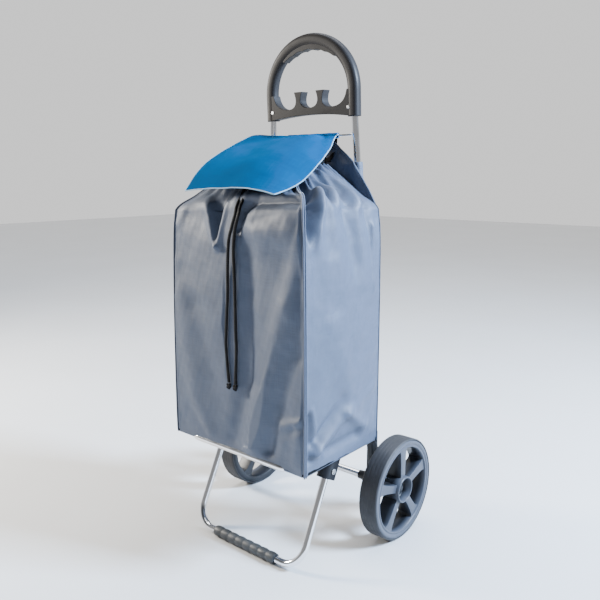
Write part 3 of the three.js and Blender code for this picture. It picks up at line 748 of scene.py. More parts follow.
WIRE_LOW, WIRE_HIGH = local(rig.box("cross_wire"))
WIRE_Y = float(WIRE_LOW[1] + WIRE_HIGH[1]) / 2
WIRE_Z = float(WIRE_LOW[2] + WIRE_HIGH[2]) / 2
wire_line = even_steps([(WIRE_LOW[0], WIRE_Y, WIRE_Z), (WIRE_HIGH[0], WIRE_Y, WIRE_Z)], 30)
finish_piece(tube_piece("cross_wire_rod", wire_line, 1.9, 20), CHROME, "frame", "chrome", ["cross_wire"])

PLATFORM_Z, PLATFORM_BACK_Y, PLATFORM_FRONT_Y = 212, -49, -258
rail_line = rounded_path(
    [(-RAIL_X, PLATFORM_BACK_Y, PLATFORM_Z), (-RAIL_X, PLATFORM_FRONT_Y, PLATFORM_Z),
     (RAIL_X, PLATFORM_FRONT_Y, PLATFORM_Z), (RAIL_X, PLATFORM_BACK_Y, PLATFORM_Z)], 34,
)
rail = tube_piece("platform_rail_tube", rail_line, 6.7, 36)
finish_piece(rail, CHROME, "platform", "chrome", ["platform_tube"])
# The leg's pivot and the middle of its foot: y and z.
LEG_PIVOT = (-158, 181)
FOOT = (-241.6, 10.6)
tilt = math.atan2(LEG_PIVOT[0] - FOOT[0], LEG_PIVOT[1] - FOOT[1])
leg_top = (LEG_PIVOT[0] + 8 * math.sin(tilt), LEG_PIVOT[1] + 8 * math.cos(tilt))
leg_line = rounded_path([(-RAIL_X, *leg_top), (-RAIL_X, *FOOT), (RAIL_X, *FOOT), (RAIL_X, *leg_top)], 42)
finish_piece(tube_piece("leg_bent_tube", leg_line, 6.9, 36), CHROME, "leg", "chrome", ["leg_tube"])

SUPPORT_Z = 215
for word, y in (("rear", -112), ("front", -196)):
    low, high = local(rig.box(f"support_wire_{word}"))
    rod_line = even_steps([(low[0], y, SUPPORT_Z), (high[0], y, SUPPORT_Z)], 24)
    rod = tube_piece(f"support_wire_{word}_rod", rod_line, 2.45, 20)
    finish_piece(rod, CHROME, "platform", "chrome", [f"support_wire_{word}"])

axle_end = AXLE_HIGH.x * 1000
AXLE_R, AXLE_MIDDLE_R, AXLE_STEP_X = 5.9, 7.2, 134
axle_profile = [
    (0, -axle_end), (AXLE_R, -axle_end), (AXLE_R, -AXLE_STEP_X - 0.5), (AXLE_MIDDLE_R, -AXLE_STEP_X),
    (AXLE_MIDDLE_R, AXLE_STEP_X), (AXLE_R, AXLE_STEP_X + 0.5), (AXLE_R, axle_end), (0, axle_end),
]
axle = lathe_piece("axle_rod", axle_profile, (0, 0, AXLE_Z * 1000), 1, 40, closed=False)
finish_piece(outward(bevelled(axle, 0.4, 2)), CHROME, "frame", "chrome", ["axle"])

# ---------------------------------------------------------------- wheels
TYRE_INNER_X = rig.box("tyre_right")[0].x * 1000
TYRE_WIDTH = 40.4
WHEEL_R = 104.0
SPOKES = 5


def spoke_outline():
    """One side of a spoke, from the hub out to the rim, and the same mirrored."""
    right = [
        (8.0, 24.0), *pulled_curve((8, 24.5), (7, 55), (10.5, 77), 10, False),
        *pulled_curve((10.5, 77), (12.5, 85.5), (23, 87.5), 10, False), (23, 88),
    ]
    return [tuple(p) for p in right] + [(-p[0], p[1]) for p in reversed(right)]


for word, side in (("left", -1), ("right", 1)):
    centre = (side * TYRE_INNER_X, 0, AXLE_Z * 1000)
    w = TYRE_WIDTH
    tread = []
    for k in range(41):
        a = 0.8 + (w - 1.6) * k / 40
        edge = min(a, w - a)
        drop = 1.5 * math.exp(-((edge - 0.6) / 1.3) ** 2)
        groove = 0.55 if (k % 8) == 4 else 0.0
        tread.append((WHEEL_R - drop - groove, a))
    profile = (
        [(95.8, 5.0), (98.6, 5.0), (100.6, 3.4), (100.6, 0.6), (101.6, 0.0)]
        + tread
        + [(101.6, w), (100.6, w - 0.6), (100.6, w - 3.4), (98.6, w - 5.0), (95.8, w - 5.0)]
    )
    tyre = lathe_piece(f"tyre_{word}_rubber", profile, centre, side, 144)
    finish_piece(outward(tyre), TYRE, f"wheel_{word}", "tyre", [f"tyre_{word}"])

    ring = lathe_piece(
        f"rim_{word}_ring",
        [
            (86.3, 2.0), (87.5, 1.0), (99.3, 1.0), (100.3, 2.0), (100.3, 4.0), (99.6, 4.7),
            (95.5, 4.9), (95.5, w - 4.9), (99.6, w - 4.7), (100.3, w - 4.0), (100.3, w - 2.0),
            (99.3, w - 1.0), (93.0, w - 1.0), (92.2, w - 2.2), (90.4, w - 2.2), (89.6, w - 1.0),
            (87.6, w - 1.0), (86.2, w - 2.4), (85.9, w / 2),
        ],
        centre, side, 144,
    )
    hub = lathe_piece(
        f"rim_{word}_hub",
        [
            (6.25, 1.6), (7, 1.0), (25.5, 1.0), (27, 2.5), (27, w + 1.6), (25.8, w + 3.0),
            (24.4, w + 3.0), (23.5, w + 1.8), (23.5, 25.5), (22.5, 24.4), (7.0, 24.4), (6.25, 25.0),
        ],
        centre, side, 72,
    )
    outline = spoke_outline()
    spokes = []
    for index in range(SPOKES):
        turn = math.tau * index / SPOKES
        s, c = math.sin(turn), math.cos(turn)

        def place(x, a, b, s=s, c=c, centre=centre, side=side):
            return (centre[0] + side * x, centre[1] + a * c + b * s, centre[2] + b * c - a * s)

        spoke = extruded_piece(f"rim_{word}_spoke_{index}", outline, 4, 36.5, place)
        spokes.append(bevelled(spoke, 1.6, 3))
    rim = joined(f"rim_{word}_moulding", [outward(ring), outward(hub), *spokes])
    finish_piece(rim, RIM, f"wheel_{word}", "rim", [f"wheel_rim_{word}", f"wheel_spider_{word}"])

    cap_low, cap_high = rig.box(f"axle_cap_{word}")
    inner = (cap_low.x if side > 0 else -cap_high.x) * 1000 - TYRE_INNER_X
    cap_profile = [(0, inner + 10.2), (3.5, inner + 10.0), (6.6, inner + 8.6), (8.4, inner + 6.4),
                   (9.2, inner + 3.0), (10.2, inner + 2.4), (11, inner + 1.8), (11, inner + 0.4),
                   (10.6, inner), (0, inner)]
    cap = lathe_piece(f"axle_cap_{word}_dome", cap_profile, centre, side, 48, closed=False)
    finish_piece(outward(cap), CAP, "frame", "steel", [f"axle_cap_{word}"])

# ---------------------------------------------------------------- rubber grip on the leg
grip_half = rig.box("foot_grip")[1].x * 1000
grip_profile = [(7.4, -grip_half), (9.6, -grip_half)]
for a in np.linspace(-grip_half + 0.8, grip_half - 0.8, 160):
    wave = abs(math.sin(math.pi * (a + grip_half) / (2 * grip_half) * 8))
    grip_profile.append((9.7 + 1.4 * wave**0.7, a))
grip_profile += [(9.6, grip_half), (7.4, grip_half)]


def grip_form(angle, distance):
    """A shallow flute along the top and bottom of the sleeve."""
    flute = np.exp(-((np.abs(np.sin(angle - 0.9)) / 0.16) ** 2)) * (np.cos(angle - 0.9) > 0)
    return 1 - 0.07 * flute


grip = outward(lathe_piece("foot_grip_sleeve", grip_profile, (0, *FOOT), 1, 72, form=grip_form))
for vertex in grip.data.vertices:
    vertex.co.z = max(vertex.co.z, 0.0)
finish_piece(grip, GRIP, "leg", "grip", ["foot_grip"])

# ---------------------------------------------------------------- brackets, pins, handle
for word in ("left", "right"):
    for stem, material, width in (
        ("rear_bracket", BRACKET, 1.0), ("front_bracket", BRACKET, 0.9), ("wheel_bush", BRACKET, 0.4),
        ("platform_pin", STEEL, 0.5), ("leg_pin", STEEL, 0.5), ("handle_screw", STEEL, 0.3),
    ):
        soft_edges(f"{stem}_{word}", width)
        repaint(f"{stem}_{word}", material)

# The handle: a rounded loop swept over the top, the plate with its two posts, and the finger pad.
LOOP_OUT, LOOP_IN = 11.0, 13.2  # how far the section reaches from the loop's line
LOOP_X = (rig.box("handle")[1].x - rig.box("handle")[0].x) * 500 - LOOP_OUT
LOOP_TOP, LOOP_SHOULDER = 149.2, 50.0
HANDLE_RISE = (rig.box("handle")[1].z - AXLE_Z) * 1000 / math.cos(LEAN) - LOOP_TOP - LOOP_OUT
ROUND_PULL = 0.552  # of a curve's handles, for a quarter of a circle
PAD_INSET, PAD_HALF_ANGLE, PAD_WAVES = 13.4, 0.78, 5
angles = np.linspace(-PAD_HALF_ANGLE, PAD_HALF_ANGLE, 121)  # along the pad


def squared(v):
    """Pushes a circle's coordinate outward, for a section between round and square."""
    return np.sign(v) * np.abs(v) ** 0.78


def on_handle(depth, a, b):
    return leaning(a, depth, HANDLE_RISE + b)


def on_pad(inset):
    across, up = LOOP_X - PAD_INSET - inset, LOOP_TOP - PAD_INSET - LOOP_SHOULDER - inset
    return stacked(across * np.sin(angles), LOOP_SHOULDER + up * np.cos(angles))


shoulder = LOOP_SHOULDER + ROUND_PULL * (LOOP_TOP - LOOP_SHOULDER)
half_loop = np.vstack([
    [(-LOOP_X, 0)],
    bezier((-LOOP_X, LOOP_SHOULDER), (-LOOP_X, shoulder), (-ROUND_PULL * LOOP_X, LOOP_TOP), (0, LOOP_TOP)),
])
loop_line = np.vstack([half_loop, half_loop[:-1][::-1] * [-1, 1]])
loop_line = even_steps(np.insert(loop_line, 1, 0, axis=1), 260)
along = np.gradient(loop_line, axis=0)
along /= np.linalg.norm(along, axis=1)[:, None]
turn = np.linspace(0, math.tau, 64, endpoint=False)
reach_out = squared(np.cos(turn)) * np.where(np.cos(turn) > 0, LOOP_OUT, LOOP_IN)
reach_deep = squared(np.sin(turn)) * LOOP_OUT
loop_x = loop_line[:, :1] - along[:, 2:] * reach_out
loop_rise = HANDLE_RISE + loop_line[:, 2:] + along[:, :1] * reach_out
loop_points = stacked(*leaning(loop_x, reach_deep, loop_rise))
count, sides = loop_points.shape[:2]
loop_ends = [tuple(range(sides)), tuple(range((count - 1) * sides, count * sides))]
loop_faces = ring_faces(count, sides) + loop_ends
handle_loop = outward(mesh_piece("handle_loop", metres(loop_points).reshape(-1, 3), loop_faces))

inner = LOOP_X - 12.4
right_bays = np.vstack([
    [(LOOP_X, 50)],
    bezier((inner, 50), (88, 30), (76, 20.5), (53, 20.5), 16),
    bezier((53, 20.5), (36, 20.5), (28, 32), (38, 53), 16)[1:],
    bezier((17, 53), (27, 32), (19, 21.5), (0, 21.5), 16),
])
left_bays = right_bays[:-1][::-1] * [-1, 1]
lower_edge = pulled_curve((-LOOP_X, 0), (0, 16), (LOOP_X, 0), 24)
plate_outline = np.vstack([lower_edge, right_bays, left_bays]).tolist()
plate = bevelled(extruded_piece("handle_plate", plate_outline, -10.4, 10.4, on_handle), 1.1, 3, 35)

fade = np.cos(0.5 * math.pi * angles / PAD_HALF_ANGLE) ** 0.7
ripple = np.abs(np.cos(PAD_WAVES * math.pi * angles / (2 * PAD_HALF_ANGLE))) ** 0.8
pad_outline = np.vstack([on_pad(-4.0), on_pad(7.5 * fade - 2.2 * fade * ripple)[1:-1][::-1]]).tolist()
pad = bevelled(extruded_piece("handle_pad", pad_outline, -8.6, 8.6, on_handle), 2.2, 4, 50)
handle = joined("handle_moulding", [handle_loop, plate, pad])
smooth_faces(handle.data)
even_normals(handle)
finish_piece(handle, CHARCOAL, "frame", "charcoal", ["handle"])

# The base board ends at the platform's pivot and clear of the walls, and folds up with the platform.
BOARD_BACK_Y, BOARD_CLEAR = -60, 8
low, high = local(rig.box("base_board"))
back = min(high[1], BOARD_BACK_Y)
board_outline = [(low[1], low[2]), (back, low[2]), (back, high[2]), (low[1], high[2])]
board = extruded_piece(
    "base_board_panel", board_outline, low[0] + BOARD_CLEAR, high[0] - BOARD_CLEAR, lambda x, a, b: (x, a, b)
)
finish_piece(bevelled(board, 0.7, 3), BOARD, "platform", "board", ["base_board"])

# ---------------------------------------------------------------- shape of the flap
# Rows: distance forward, height of the crown, half width, height of the left edge.
FLAP_ROWS = np.array([
    [-WIRE_Y, WIRE_Z + 4, 63, WIRE_Z + 3], [70, 808, 82, 812], [108, 804, 103, 808],
    [165, 783, 120, 779], [220, 752, 119, 748], [272, 707, 112, 703],
], float)
# The right edge: distance forward and height.
RIGHT_EDGE = [(33, 809), (60, 803), (91, 791), (116, 777), (144, 762), (168, 748), (190, 734),
              (208, 722), (227, 713), (243, 707), (272, 701)]
FLAP_GRID = (120, 110)  # rows, columns
flap_forward = np.linspace(FLAP_ROWS[0, 0], FLAP_ROWS[-1, 0], FLAP_GRID[0])


def eased(column):
    """A column of FLAP_ROWS as a smooth curve over the flap's rows."""
    dense = spline(np.stack([FLAP_ROWS[:, 0], FLAP_ROWS[:, column], 0 * FLAP_ROWS[:, 0]], -1), 400)
    return np.interp(flap_forward, dense[:, 0], dense[:, 1])[:, None]


crown, half, left_z = (eased(column) for column in (1, 2, 3))
right_z = np.interp(flap_forward, *zip(*RIGHT_EDGE))[:, None]
forward = flap_forward[:, None]
u = np.linspace(-1, 1, FLAP_GRID[1])[None, :]
t = np.linspace(0, 1, FLAP_GRID[0])[:, None]
edge_z = np.where(u < 0, left_z, right_z)
flap_points = np.zeros((*FLAP_GRID, 3))
flap_points[..., 0] = half * u + 6.0 * np.maximum(-u, 0) * np.exp(-(((forward - 140) / 55) ** 2))
flap_points[..., 1] = 3.0 * np.sin(math.pi * (u * 0.5 + 0.5)) ** 2 * t**6 - forward
flap_points[..., 2] = crown + (edge_z - crown) * np.abs(u) ** 2.6
sway = 1.5 * waves(flap_points, 150, 71) + 0.5 * waves(flap_points, 52, 72)
sway += crease(flap_points, [(-60, -60, 812, 18, -2.5), (-30, -200, 768, 30, -2.0)])
sway += crease(flap_points, [(40, -70, 812, 10, 2.6), (70, -180, 778, 24, 1.4)])
sway += crease(flap_points, [(52, -58, 812, 7, -3.0), (104, -150, 760, 14, -2.0)])
sway += crease(flap_points, [(-90, -110, 800, 14, 2.0), (-100, -240, 730, 22, 2.4)])
flap_points[..., 2] += sway * smooth_step(t, 0.02, 0.2)


def flap_height(points):
    """The flap's height over each point, or a high number where there is no flap."""
    last_row, last_column = FLAP_GRID[0] - 1, FLAP_GRID[1] - 1
    row = (-points[..., 1] - flap_forward[0]) / (flap_forward[-1] - flap_forward[0]) * last_row
    inside = (row >= 0) & (row <= last_row)
    i = np.clip(row.round().astype(int), 0, last_row)
    low, high = flap_points[:, 0, 0], flap_points[:, -1, 0]
    share = (points[..., 0] - low[i]) / (high[i] - low[i])
    inside &= (share > -0.01) & (share < 1.01)
    j = np.clip((share * last_column).round().astype(int), 0, last_column)
    return np.where(inside, flap_points[i, j, 2], 5000.0)


# ---------------------------------------------------------------- bag
CORNERS = {
    "front_right": [(167, -259, 218.5), (170, -262.5, 228), (169.5, -262.5, 440), (167, -262, 610),
                    (163, -259.5, 674), (152, -249, 698), (120, -223, 707), (62, -178, 747)],
    "front_left": [(-167, -259, 219.5), (-170, -262.5, 228), (-168, -262.5, 440), (-164, -260, 610),
                   (-161, -256, 664), (-128, -231, 693), (-95, -205, 722), (-62, -178, 750)],
    "back_right": [(167, -40, 219.5), (170, -37, 228), (170, -37, 440), (168, -37, 610),
                   (163, -37.5, 668), (130, -45, 695), (96, -53, 722), (62, -62, 750)],
}
CORNERS["back_left"] = [(-x, y, z) for x, y, z in CORNERS["back_right"]]
ROWS = 210
GATHER_ROW = 0.70  # share of the rows below the shoulder
FOLD_DEPTH = 1.55  # all folds of the bag are this much deeper than listed
UNDER_FLAP = 5.5  # how far the cloth stays under the flap
FRONT_LIMIT, CORD_LIMIT = -272.4, -264.4  # how far forward the cloth may come, and behind the cords


def corner_line(name, rows=ROWS):
    """The corner seam, with its rows evenly shared below and above the shoulder."""
    points = CORNERS[name]
    wall = spline(points[:5], int(rows * GATHER_ROW))
    top = spline(points[3:], 200)
    start = np.argmin(np.linalg.norm(top - np.array(points[4]), axis=1))
    top = even_steps(top[start:], rows - len(wall) + 1)
    return np.vstack([wall, top[1:]])


def bag_panel(name, start, end, columns, folds, belly, pleats, seed):
    """One panel of the bag from its floor seam to the mouth, between two corner seams."""
    a, b = corner_line(start), corner_line(end)
    u = np.linspace(0, 1, columns)[None, :]
    points = a[:, None] * (1 - u)[..., None] + b[:, None] * u[..., None]
    rows = np.linspace(0, 1, ROWS)[:, None]
    up = np.clip((rows - GATHER_ROW) / (1 - GATHER_ROW), 0, 1)
    low = np.clip(rows / GATHER_ROW, 0, 1)
    normal = np.cross(np.gradient(points, axis=1), np.gradient(points, axis=0))
    normal /= np.linalg.norm(normal, axis=2)[..., None]
    arch = 4 * u * (1 - u)
    lift = belly[0] * arch * np.sin(math.pi * low) + belly[1] * arch * np.sin(math.pi * (up * 0.95 + 0.05))
    phase = np.random.default_rng(seed).uniform(0, 6.28)
    wobble = 1.2 * np.sin(math.tau * u * 1.7 + phase) + 0.8 * np.sin(math.tau * u * 3.1 + 2 * phase)
    fine = np.sin(math.tau * pleats * u + wobble + 0.8 * up)
    broad = np.sin(math.tau * pleats * 0.47 * u + 1.7 * wobble)
    lift = lift + (4.6 * fine + 4.4 * broad) * up**1.3
    for height, size, step in ((1.9, 170, 0), (0.6, 62, 1), (0.22, 22, 2)):
        lift = lift + height * waves(points, size, seed + step)
    for line in folds:
        lift = lift + FOLD_DEPTH * crease(points, line)
    inside = np.minimum(u, 1 - u) * np.linalg.norm(b - a, axis=1)[:, None]
    stitched = -1.5 * np.exp(-(((inside - 3.4) / 1.3) ** 2)) + 0.8 * np.exp(-(((inside - 7.0) / 1.5) ** 2))
    lift = lift * smooth_step(inside, 0, 9) * smooth_step(rows, 0, 0.06) + stitched * (1 - up) ** 0.5
    points = points + normal * lift[..., None]
    points[..., 2] = np.minimum(points[..., 2], flap_height(points) - UNDER_FLAP)
    near_cord = smooth_step(34 - np.abs(points[..., 0] - 2), 0, 14)
    limit = FRONT_LIMIT + (CORD_LIMIT - FRONT_LIMIT) * near_cord
    points[..., 1] = np.maximum(points[..., 1], limit)
    return grid_piece(name, points)


FRONT_FOLDS = [
    # the hollow that ends in a point, left of the cord
    [(-46, -258, 700, 26, -15), (-39, -262, 612, 5, -2)],
    [(-20, -258, 680, 9, 3), (-37, -262, 601, 6, 4)],
    [(-72, -258, 680, 12, 4), (-41, -262, 601, 6, 3.5)],
    # arched hollow under the flap beside the cord, over a puffed shoulder
    [(13, -264, 634, 7, -4), (28, -262, 676, 11, -15), (54, -262, 692, 13, -18),
     (96, -262, 692, 12, -15), (150, -262, 690, 9, -8)],
    [(66, -262, 634, 34, 6), (128, -262, 640, 32, 6)],
    [(62, -262, 652, 9, -1.6), (104, -262, 664, 7, -1.2)],
    [(16, -262, 636, 7, -3.5), (30, -262, 600, 9, -1)],
    # broad crest from the right edge down to the lower edge, and the valley between it and the cord
    [(164, -262, 640, 10, 1.5), (115, -262, 468, 26, 5.6), (46, -262, 238, 25, 6.6)],
    [(122, -262, 480, 6, 0.0), (90, -262, 390, 6, 1.0), (46, -262, 238, 5, 2.6)],
    [(44, -262, 610, 18, -4), (34, -262, 360, 20, -6), (-4, -262, 238, 20, -3)],
    [(152, -262, 440, 18, -1.5), (112, -262, 330, 20, -4.0), (84, -262, 238, 15, -5.5)],
    [(164, -262, 560, 10, -1.5), (160, -262, 430, 16, -2.5)],
    # lower right corner pinch
    [(116, -262, 292, 10, 2.6), (168, -262, 316, 6, 3.2)],
    [(126, -262, 284, 11, -1.6), (168, -262, 302, 7, -2.6)],
    [(156, -262, 300, 8, 2.5), (150, -262, 228, 14, 1.2)],
    [(-160, -262, 560, 22, 2.5), (-110, -262, 330, 26, 1.5)],
    [(-110, -262, 300, 20, 1.8), (-70, -262, 236, 14, 2.2)],
    [(-150, -262, 640, 10, 2), (-120, -262, 700, 14, 5)],
    [(-100, -262, 480, 26, -2.2), (-40, -262, 300, 22, -1.4)],
]
RIGHT_FOLDS = [
    # the dark hollow behind the corner seam
    [(108, -204, 718, 10, -17), (140, -224, 700, 12, -24),
     (163, -240, 672, 11, -23), (169, -249, 622, 5, -4)],
    [(104, -186, 726, 7, 7), (140, -200, 708, 9, 10), (164, -218, 672, 9, 9), (169, -232, 610, 7, 2)],
    [(168, -252, 660, 3, 3), (168, -254, 620, 3, 2)],
    [(100, -176, 730, 6, -9), (158, -180, 690, 9, -8)],
    [(96, -160, 732, 6, 8), (160, -156, 684, 12, 6)],
    [(92, -140, 734, 6, -9), (158, -132, 684, 12, -6)],
    [(88, -118, 736, 6, 8), (160, -104, 680, 12, 6)],
    [(84, -96, 738, 6, -8), (160, -80, 676, 11, -5)],
    [(166, -240, 660, 9, 3), (168, -200, 560, 20, 1)],
    [(160, -190, 700, 10, 5), (168, -168, 540, 24, 2.0)],
    [(160, -156, 700, 10, -6), (168, -120, 560, 22, -2.5)],
    [(166, -116, 668, 10, 3), (168, -96, 540, 18, 1.5)],
    [(166, -84, 660, 8, -3.5), (168, -62, 560, 14, -2)],
    [(166, -66, 640, 5, 2.4), (168, -64, 520, 6, 1.2)],
    [(168, -190, 470, 26, 2.2), (168, -120, 300, 20, 1.4)],
    [(168, -60, 330, 9, 2.6), (168, -140, 300, 14, 1.0)],
    # folds by the floor
    [(168, -236, 246, 8, 6.5), (168, -140, 306, 12, 3.4)],
    [(168, -236, 266, 8, -6.5), (168, -160, 330, 12, -2.4)],
    [(168, -150, 300, 10, 4.4), (168, -90, 258, 12, 3.6)],
    [(168, -252, 320, 7, -4.2), (168, -250, 240, 12, -4.6)],
    [(168, -244, 330, 6, 2.4), (168, -226, 236, 8, 2.0)],
    [(168, -200, 240, 10, -4.2), (168, -110, 244, 12, -4.6)],
]
LEFT_FOLDS = [
    [(-148, -216, 720, 10, -9), (-166, -236, 640, 8, -3)],
    [(-120, -180, 738, 8, 6), (-160, -170, 650, 16, 3)],
    [(-112, -150, 738, 8, -6), (-160, -128, 650, 16, -3)],
    [(-105, -115, 738, 8, 6), (-160, -80, 640, 16, 3)],
    [(-168, -200, 560, 24, 3), (-168, -130, 330, 22, 2)],
    [(-168, -240, 300, 12, 3), (-168, -130, 246, 12, 2.4)],
    [(-168, -100, 420, 18, -2.6), (-168, -60, 260, 14, -2)],
]
BACK_FOLDS = [
    [(-60, -37, 640, 30, -1.5), (-100, -37, 300, 26, -1.5)],
    [(60, -37, 640, 30, -1.5), (100, -37, 300, 26, -1.5)],
    [(-30, -37, 620, 26, -1.2), (40, -37, 260, 26, -1.6)],
]
panels = {
    "front": bag_panel("bag_front_panel", "front_left", "front_right", 150, FRONT_FOLDS, (1.5, 7), 11, 11),
    "right": bag_panel("bag_right_panel", "front_right", "back_right", 110, RIGHT_FOLDS, (4.5, 6), 8, 23),
    "back": bag_panel("bag_back_panel", "back_right", "back_left", 90, BACK_FOLDS, (-1.5, 2), 10, 37),
    "left": bag_panel("bag_left_panel", "back_left", "front_left", 100, LEFT_FOLDS, (1.5, 5), 8, 41),
}
for word, panel in panels.items():
    nodes = [f"bag_{word}", f"bag_gather_{word}"]
    crumple(cloth_piece(panel, 1.2, (SLATE, LINING), "frame", "slate", nodes))

# floor of the bag, sewn to the walls
u, v = np.meshgrid(np.linspace(0, 1, 60), np.linspace(0, 1, 44))
corner = {name: np.array(line[0], float) for name, line in CORNERS.items()}
front_edge = corner["front_left"] * (1 - u)[..., None] + corner["front_right"] * u[..., None]
back_edge = corner["back_left"] * (1 - u)[..., None] + corner["back_right"] * u[..., None]
floor_points = front_edge * (1 - v)[..., None] + back_edge * v[..., None]
edge = np.minimum(np.minimum(u, 1 - u) * 334, np.minimum(v, 1 - v) * 219)
ripples = 0.25 * waves(floor_points, 40, 51) * smooth_step(edge, 0, 20)
floor_points[..., 2] += 0.7 * smooth_step(edge, 0, 12) + ripples
floor = grid_piece("bag_floor_panel", floor_points, flip=True)
crumple(cloth_piece(floor, 1.2, (SLATE, LINING), "frame", "slate", ["bag_bottom"]))


def seam_piping(name, corner, radius, reach, shift=(0, 0, 0)):
    """A cord along a corner seam, from just above the floor up to reach of its length."""
    line = corner_line(corner, 260)
    line = line[2 : int(len(line) * reach)]
    out = [math.copysign(0.3, line[0][0]), -0.3 if "front" in corner else 0.3, 0]
    cord = tube_piece(name, line + out + np.array(shift), radius, 14)
    crumple(finish_piece(cord, PIPING, "frame", "slate"))


for name in CORNERS:
    seam_piping(f"piping_{name}", name, 1.7 if name == "front_right" else 0.75, 0.96)
seam_piping("piping_side_welt", "front_right", 1.4, 0.9, (0.9, 3.9, 0))
floor_loop = [corner[k] for k in ("front_left", "front_right", "back_right", "back_left", "front_left")]
floor_line = even_steps(floor_loop, 300) + [0, 0, 0.4]
floor_seam = tube_piece("piping_floor", floor_line, 1.3, 12, capped=False)
crumple(finish_piece(floor_seam, PIPING, "frame", "slate"))

# the gathered black collar round the mouth
MOUTH_HALF, MOUTH_FRONT, MOUTH_BACK, MOUTH_Z = 61.0, -177.0, -63.0, 750.0
mouth_corners = [
    (0, MOUTH_FRONT, 0), (MOUTH_HALF, MOUTH_FRONT, 0), (MOUTH_HALF, MOUTH_BACK, 0),
    (-MOUTH_HALF, MOUTH_BACK, 0), (-MOUTH_HALF, MOUTH_FRONT, 0), (0, MOUTH_FRONT, 0),
]
loop = rounded_path(mouth_corners, 16, 520)
radial = loop - [0, (MOUTH_FRONT + MOUTH_BACK) / 2, 0]
radial /= np.linalg.norm(radial, axis=1)[:, None]
around = math.tau * np.linspace(0, 1, len(loop))
collar_rows = []
for k, height in enumerate(np.linspace(-6, 11, 12)):
    puff = 2.2 * math.sin(math.pi * k / 11)
    ruffle = 1.9 * np.sin(46 * around + 0.7 * math.sin(k)) + 1.1 * np.sin(19 * around + 1.3)
    row = loop + radial * (puff + ruffle * (0.55 + 0.45 * k / 11) - 3.2)[:, None]
    row[:, 2] = MOUTH_Z + height + 0.7 * np.sin(23 * around + k)
    collar_rows.append(row)
collar = grid_piece("mouth_collar_gather", np.array(collar_rows))
crumple(cloth_piece(collar, 0.9, (LINING,), "frame", "lining", ["mouth_collar"]))

# back yoke up to the cross wire, with its black facing, and the sleeves round the uprights
YOKE_EDGE = [(575, 158.0), (600, 144.5), (653, 110.0), (668, 92.0), (680, 76.0), (694, 62.0)]
rise = np.linspace(YOKE_EDGE[0][0], YOKE_EDGE[-1][0], 70)[:, None]
half = np.interp(rise, *zip(*YOKE_EDGE))
u = np.linspace(-1, 1, 100)[None, :]
bend = 14 * (1 - abs(u)) ** 0.8 * smooth_step(YOKE_EDGE[-1][0] - rise, 0, 60)
yoke_points = stacked(*leaning(u * half, -12.2 - bend, rise))
sway = 0.9 * waves(yoke_points, 120, 61) + 0.5 * waves(yoke_points, 38, 62)
sway += crease(yoke_points, [(110, -44, 752, 6, 2.5), (126, -42, 690, 12, 2)])
sway += crease(yoke_points, [(70, -44, 780, 6, -2), (104, -42, 700, 12, -1.6)])
yoke_points[..., 1] -= np.clip(sway, -1.6, 4.0)
yoke = grid_piece("bag_yoke_panel", yoke_points)
crumple(cloth_piece(yoke, 1.6, (SLATE,), "frame", "slate", ["bag_yoke"]))

facing_rows = []
for t in np.linspace(0, 1, 30):
    width = 64.5 + 3.0 * math.sin(math.pi * (1 - t) ** 0.8) - 3.5 * t
    xs = np.linspace(-width, width, 80)
    ys = WIRE_Y - 5.5 - 16 * t**1.4 - 1.6 * t * np.sin(xs / 4.4) - 1.2 * np.sin(xs / 17.0 + 1.1)
    facing_rows.append(stacked(xs, ys, WIRE_Z - 6 - t * 44))
facing = grid_piece("mouth_back_facing", np.array(facing_rows), flip=True)
crumple(cloth_piece(facing, 1.0, (LINING,), "frame", "lining"))

for word, side in (("left", -1), ("right", 1)):
    foot, head = local(node_axis(f"upright_{word}"))
    low, high = local(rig.box(f"bag_sleeve_{word}"))[:, 2]
    ends = [foot + (head - foot) * ((z - foot[2]) / (head[2] - foot[2])) for z in (low + 1, high - 1)]

    def wrinkled(angle, length, side=side):
        return 1 + 0.035 * np.sin(3 * angle + length / 9 + side) + 0.03 * np.sin(length / 4.1 + 2 * angle)

    sleeve = tube_piece(f"bag_sleeve_{word}_cloth", even_steps(ends, 60), 9.1, 40, False, wrinkled)
    cloth_piece(sleeve, 0.9, (SLATE,), "frame", "slate", [f"bag_sleeve_{word}"])

# ---------------------------------------------------------------- flap
flap = grid_piece("flap_cloth", flap_points, flip=True)
cloth_piece(flap, 1.3, (BLUE, LINING), "flap", "blue", ["flap"])


def hem_form(angle, length):
    return 1 + 0.05 * np.sin(length / 5.0 + angle) + 0.03 * np.sin(length / 2.3)


hem_line = even_steps([(-63, WIRE_Y, WIRE_Z), (63, WIRE_Y, WIRE_Z)], 60)
hem = tube_piece("flap_hem", hem_line, 4.2, 28, False, hem_form)
cloth_piece(hem, 1.2, (BLUE,), "flap", "blue")
border = np.vstack([flap_points[:, 0], flap_points[-1, 1:], flap_points[::-1, -1][1:]])
border[:, 2] -= 0.6
binding = tube_piece("flap_binding", even_steps(border, 420), 1.05, 10)
finish_piece(binding, BINDING, "flap", "blue")
down, over = np.diff(flap_points, axis=0)[:, :-1], np.diff(flap_points, axis=1)[:-1]
flap_area = float(np.linalg.norm(np.cross(down, over), axis=2).sum()) / 1e6
for cloth in (flap, binding):
    # With the bag folded flat there is nothing under the flap, so it drops close to the frame.
    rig.squash(cloth, "platform_fold", axis=(0, 1, 0), anchor=(0, AXLE_Y + WIRE_Y / 1000, 0), keep=0.3)
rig.sheet(
    flap, flat=(0.24, 0.275), held="draped", rests_on=["cross_wire_rod", "mouth_collar_gather"],
    area=round(flap_area, 4), with_pieces=[hem, binding],
)

